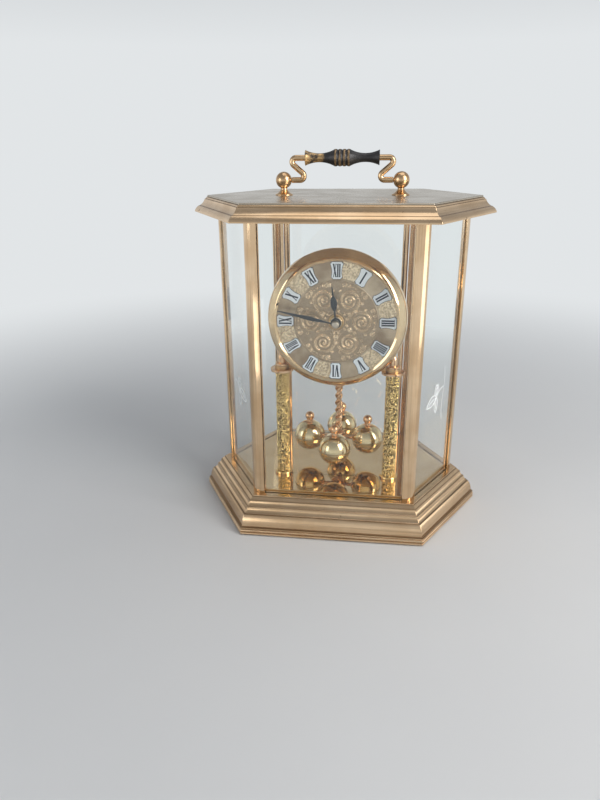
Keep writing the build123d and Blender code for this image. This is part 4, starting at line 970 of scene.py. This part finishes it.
def ribbon(spots, half):
    """A thin flat line through a row of places, in millimetres."""
    points = []
    for index, spot in enumerate(spots):
        way = (spots[min(index + 1, len(spots) - 1)] - spots[max(index - 1, 0)]).normalized()
        side = Vector((-way.y, way.x)) * half
        points += [tuple(spot - side), tuple(spot + side)]
    return points, grid_faces(len(spots), 2)


def petal(lean, length, width, bend):
    """Outline and rib of a petal from the middle of the sprig."""
    edges, rib = ([], []), []
    for step in range(petal_steps + 1):
        share = step / petal_steps
        turn = radians(lean + bend * share)
        place = Vector((cos(turn), sin(turn))) * length * share
        side = Vector((-sin(turn), cos(turn))) * width * sin(pi * share ** 0.85)
        edges[0].append(place + side)
        edges[1].append(place - side)
        rib.append(place)
    return edges[0] + edges[1][-2::-1], rib[:rib_length]


def sprig():
    """Lines and ground areas of four petals on a side shoot of a tall stem."""
    stem = [Vector((stem_at + 0.9 * sin(k * 0.28), 17 - 1.5 * k)) for k in range(24)]
    shoot = [Vector((stem_at * k / 9, 4.4 * sin(1.9 * k / 9))) for k in range(10)]
    lines, grounds = [ribbon(stem, fine_line), ribbon(shoot, bold_line)], []
    for shape in petals:
        rim, rib = petal(*shape)
        lines += [ribbon(rim, bold_line), ribbon(rib, fine_line)]
        grounds.append(([tuple(spot) for spot in rim], [tuple(range(len(rim)))]))
    return gather(lines), gather(grounds)


print("a sprig has", len(petals), "petals")

# %% Lay the sprigs on the two panes
sprig_height, sprig_size = 84.0, 1.05
pane_turn, half_glass = radians(60), 1.0
frosting = (("lines", "frosted_line", 0.03), ("ground", "frosted_fill", 0.02))


def lay_sprig(node, where, side):
    low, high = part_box(node)
    run = Vector((side * cos(pane_turn), sin(pane_turn)))
    out = Vector((side * sin(pane_turn), -cos(pane_turn)))
    middle = Vector(((low.x + high.x) / 2, (low.y + high.y) / 2))
    for (kind, finish, lift), (points, faces) in zip(frosting, sprig()):
        placed = []
        for x, y in points:
            spot = middle + run * x * sprig_size * mm + out * (half_glass + lift) * mm
            placed.append((spot.x, spot.y, (sprig_height + y * sprig_size) * mm))
        piece(f"sprig_{kind}_{where}", placed, faces, "case", "clear_glass", finish, smooth=False)


lay_sprig("pane_front_right", "right", 1)
lay_sprig("pane_front_left", "left", -1)

# %% [markdown]
# ## Screws on the movement's cover
# Four slotted screws hold the cover at the back. A slot drawn dark would vanish in the light, so each head
# is two half moons on a disc, and the gap between them is a real slot.

# %% Slotted screws
screw_radius, screw_steps, slot_angle = 1.9, 16, 0.16
head_steps = ((1.0, 0.0, 0.45), (0.86, 0.45, 0.62))
disc_share, disc_sides, disc_height = 0.97, 32, 0.2


def screw(x, z, y, turn):
    """A screw head on a face at y, its slot turned."""
    shapes = []
    arc = [slot_angle + (pi - 2 * slot_angle) * k / screw_steps for k in range(screw_steps + 1)]
    for side in (-1, 1):
        for size, low, high in head_steps:
            radius = screw_radius * size
            shapes.append(raised([(radius * cos(a), side * radius * sin(a)) for a in arc], low, high))
    disc = [tau * k / disc_sides for k in range(disc_sides)]
    radius = screw_radius * disc_share
    shapes.append(raised([(radius * cos(a), radius * sin(a)) for a in disc], -sunk, disc_height))
    points, faces = gather(shapes)
    placed = [(x + (across * cos(turn) - up * sin(turn)) * mm, y + out * mm,
               z + (across * sin(turn) + up * cos(turn)) * mm) for across, up, out in points]
    return placed, faces


cover_low, cover_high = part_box("movement_cover")
cover_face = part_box("movement_housing")[1].y + 2.0 * mm
screws = [screw(side * 22 * mm, hand_axis.z + up * mm, cover_face, 0.5 + side * up)
          for side in (-1, 1) for up in (14.0, -26.0)]
piece("cover_screws", *gather(screws), "case", "bright_steel", "bright_steel", smooth=False)
print("cover is", round((cover_high.x - cover_low.x) / mm, 1), "mm wide")

# %% [markdown]
# ## Floor
# The clock stands on a plain pale floor that takes its shadow. Further out the floor fades into the
# background's colour, for rays from the eye and those that metal and glass send on, so no horizon shows.

# %% Pale floor
floor_radius, floor_sides, floor_drop = 4, 64, 0.2 * mm
fade_start, fade_end = 0.17, 0.75
background = (0.76, 0.785, 0.80)
paper = Finish("pale_floor", specular_ior_level=0.2)
fibre = paper.cloud(9)
paper.feed("base_color", paper.blend(fibre, (0.69, 0.695, 0.70), (0.73, 0.735, 0.735)))
paper.feed("roughness", 0.75 + fibre * 0.1)
floor_x, floor_y, _ = paper.axes()
far = paper.step((floor_x ** 2 + floor_y ** 2) ** 0.5, fade_start, fade_end)
glow = paper.node("Emission", {}, {"Color": (*background, 1)})
paper.mix_in(far * paper.rays("Camera", "Glossy", "Transmission"), glow)
rim_turns = [tau * k / floor_sides for k in range(floor_sides)]
rim = [(floor_radius * cos(a), floor_radius * sin(a), -floor_drop) for a in rim_turns]
floor_mesh = bpy.data.meshes.new("floor")
floor_mesh.from_pydata(rim, [], [tuple(range(floor_sides))])
floor_mesh.materials.append(paper.material)
floor = bpy.data.objects.new("floor", floor_mesh)
bpy.context.scene.collection.objects.link(floor)
print("floor radius", floor_radius, "m")

# %% [markdown]
# ## World
# The same rays see a pale background that darkens upwards, which gives level brass something to mirror.
# All others meet an even, dimmer sky, so the background is pale without more light on the clock.

# %% Pale background and dim sky
sky_stops = [(0.0, background), (0.12, background), (0.34, (0.48, 0.50, 0.52)), (1.0, (0.28, 0.29, 0.31))]
world = bpy.data.worlds.new("studio")
world.use_nodes = True
bpy.context.scene.world = world
sky = Tree(world.node_tree)
lift = sky.split(sky.node("TexCoord", out="Generated"))[2]
pale = sky.node("ValToRGB", {"stops": sky_stops}, {0: lift})
dim = sky.node("Background", {}, {"Color": (0.62, 0.66, 0.72, 1), "Strength": 0.36})
shown = sky.node("Background", {}, {"Color": pale, "Strength": 1.0})
both = sky.node("MixShader", {}, {0: sky.rays("Camera", "Glossy", "Transmission"), 1: dim, 2: shown})
sky.join(both, world.node_tree.nodes["World Output"].inputs["Surface"])
print("world ready")

# %% [markdown]
# ## Lamps
# Metal only looks like metal with something to mirror. Seen from a little above, upright brass
# mirrors the floor, so the window is on the right and near enough to leave the floor paler there. A fill
# and a lamp above open the shadows. Two low white cards serve the polished metal alone.

# %% Window, fill, lamp above and two cards
def lamp(name, place, aim, size, power, colour, card=False):
    light = bpy.data.lights.new(name, "AREA")
    light.shape = "RECTANGLE"
    light.size, light.size_y = size
    light.energy, light.color = power, colour
    made = bpy.data.objects.new(name, light)
    made.location = place
    made.rotation_euler = (Vector(aim) - Vector(place)).to_track_quat("-Z", "Y").to_euler()
    made.visible_transmission = made.visible_diffuse = not card
    bpy.context.scene.collection.objects.link(made)


middle = (0, 0, 0.11)
card_white = (1.0, 0.99, 0.97)
lamp("window", (0.70, -0.45, 0.52), middle, (0.45, 0.7), 6.5, (1.0, 0.985, 0.96))
lamp("right_card", (0.42, -0.08, 0.08), (0, 0, 0.09), (0.40, 0.14), 0.24, card_white, card=True)
lamp("front_card", (-0.15, -0.31, 0.045), (-0.06, 0, 0.08), (0.12, 0.08), 0.042, card_white, card=True)
lamp("fill", (-0.95, -0.65, 0.35), (0, 0, 0.17), (0.6, 0.6), 2.2, (0.96, 0.98, 1.0))
lamp("above", (0.15, 0.05, 1.3), middle, (0.9, 0.9), 3.0, (1.0, 1.0, 1.0))
print(len(bpy.data.lights), "lamps")

# %% [markdown]
# ## Camera
# The camera stands where the picture was taken: a little to the right of the clock's middle line, looking
# down by some twenty-two degrees. Its three axes are built from those angles and a slight roll.

# %% Camera
turn, look_down, roll, distance = 0.132, 0.381, -0.010, 0.444
target = Vector((-0.026722, 0, 0.068335))
lens_pixels, sensor_width, picture_height = 646.77, 36, 800
back = Vector((sin(turn) * cos(look_down), -cos(turn) * cos(look_down), sin(look_down)))
right = (-back).cross(Vector((0, 0, 1))).normalized()
above = right.cross(-back)
across, upward = cos(roll) * right + sin(roll) * above, cos(roll) * above - sin(roll) * right
facing = Matrix((across, upward, back)).transposed().to_4x4()
view = bpy.data.cameras.new("view")
view.lens = lens_pixels * sensor_width / picture_height
view.clip_start, view.clip_end = 0.01, 20
camera = bpy.data.objects.new("view", view)
camera.matrix_world = Matrix.Translation(target + back * distance) @ facing
bpy.context.scene.collection.objects.link(camera)
bpy.context.scene.camera = camera
bpy.context.scene.view_settings.view_transform = "Standard"
print("lens", round(view.lens, 2), "mm")
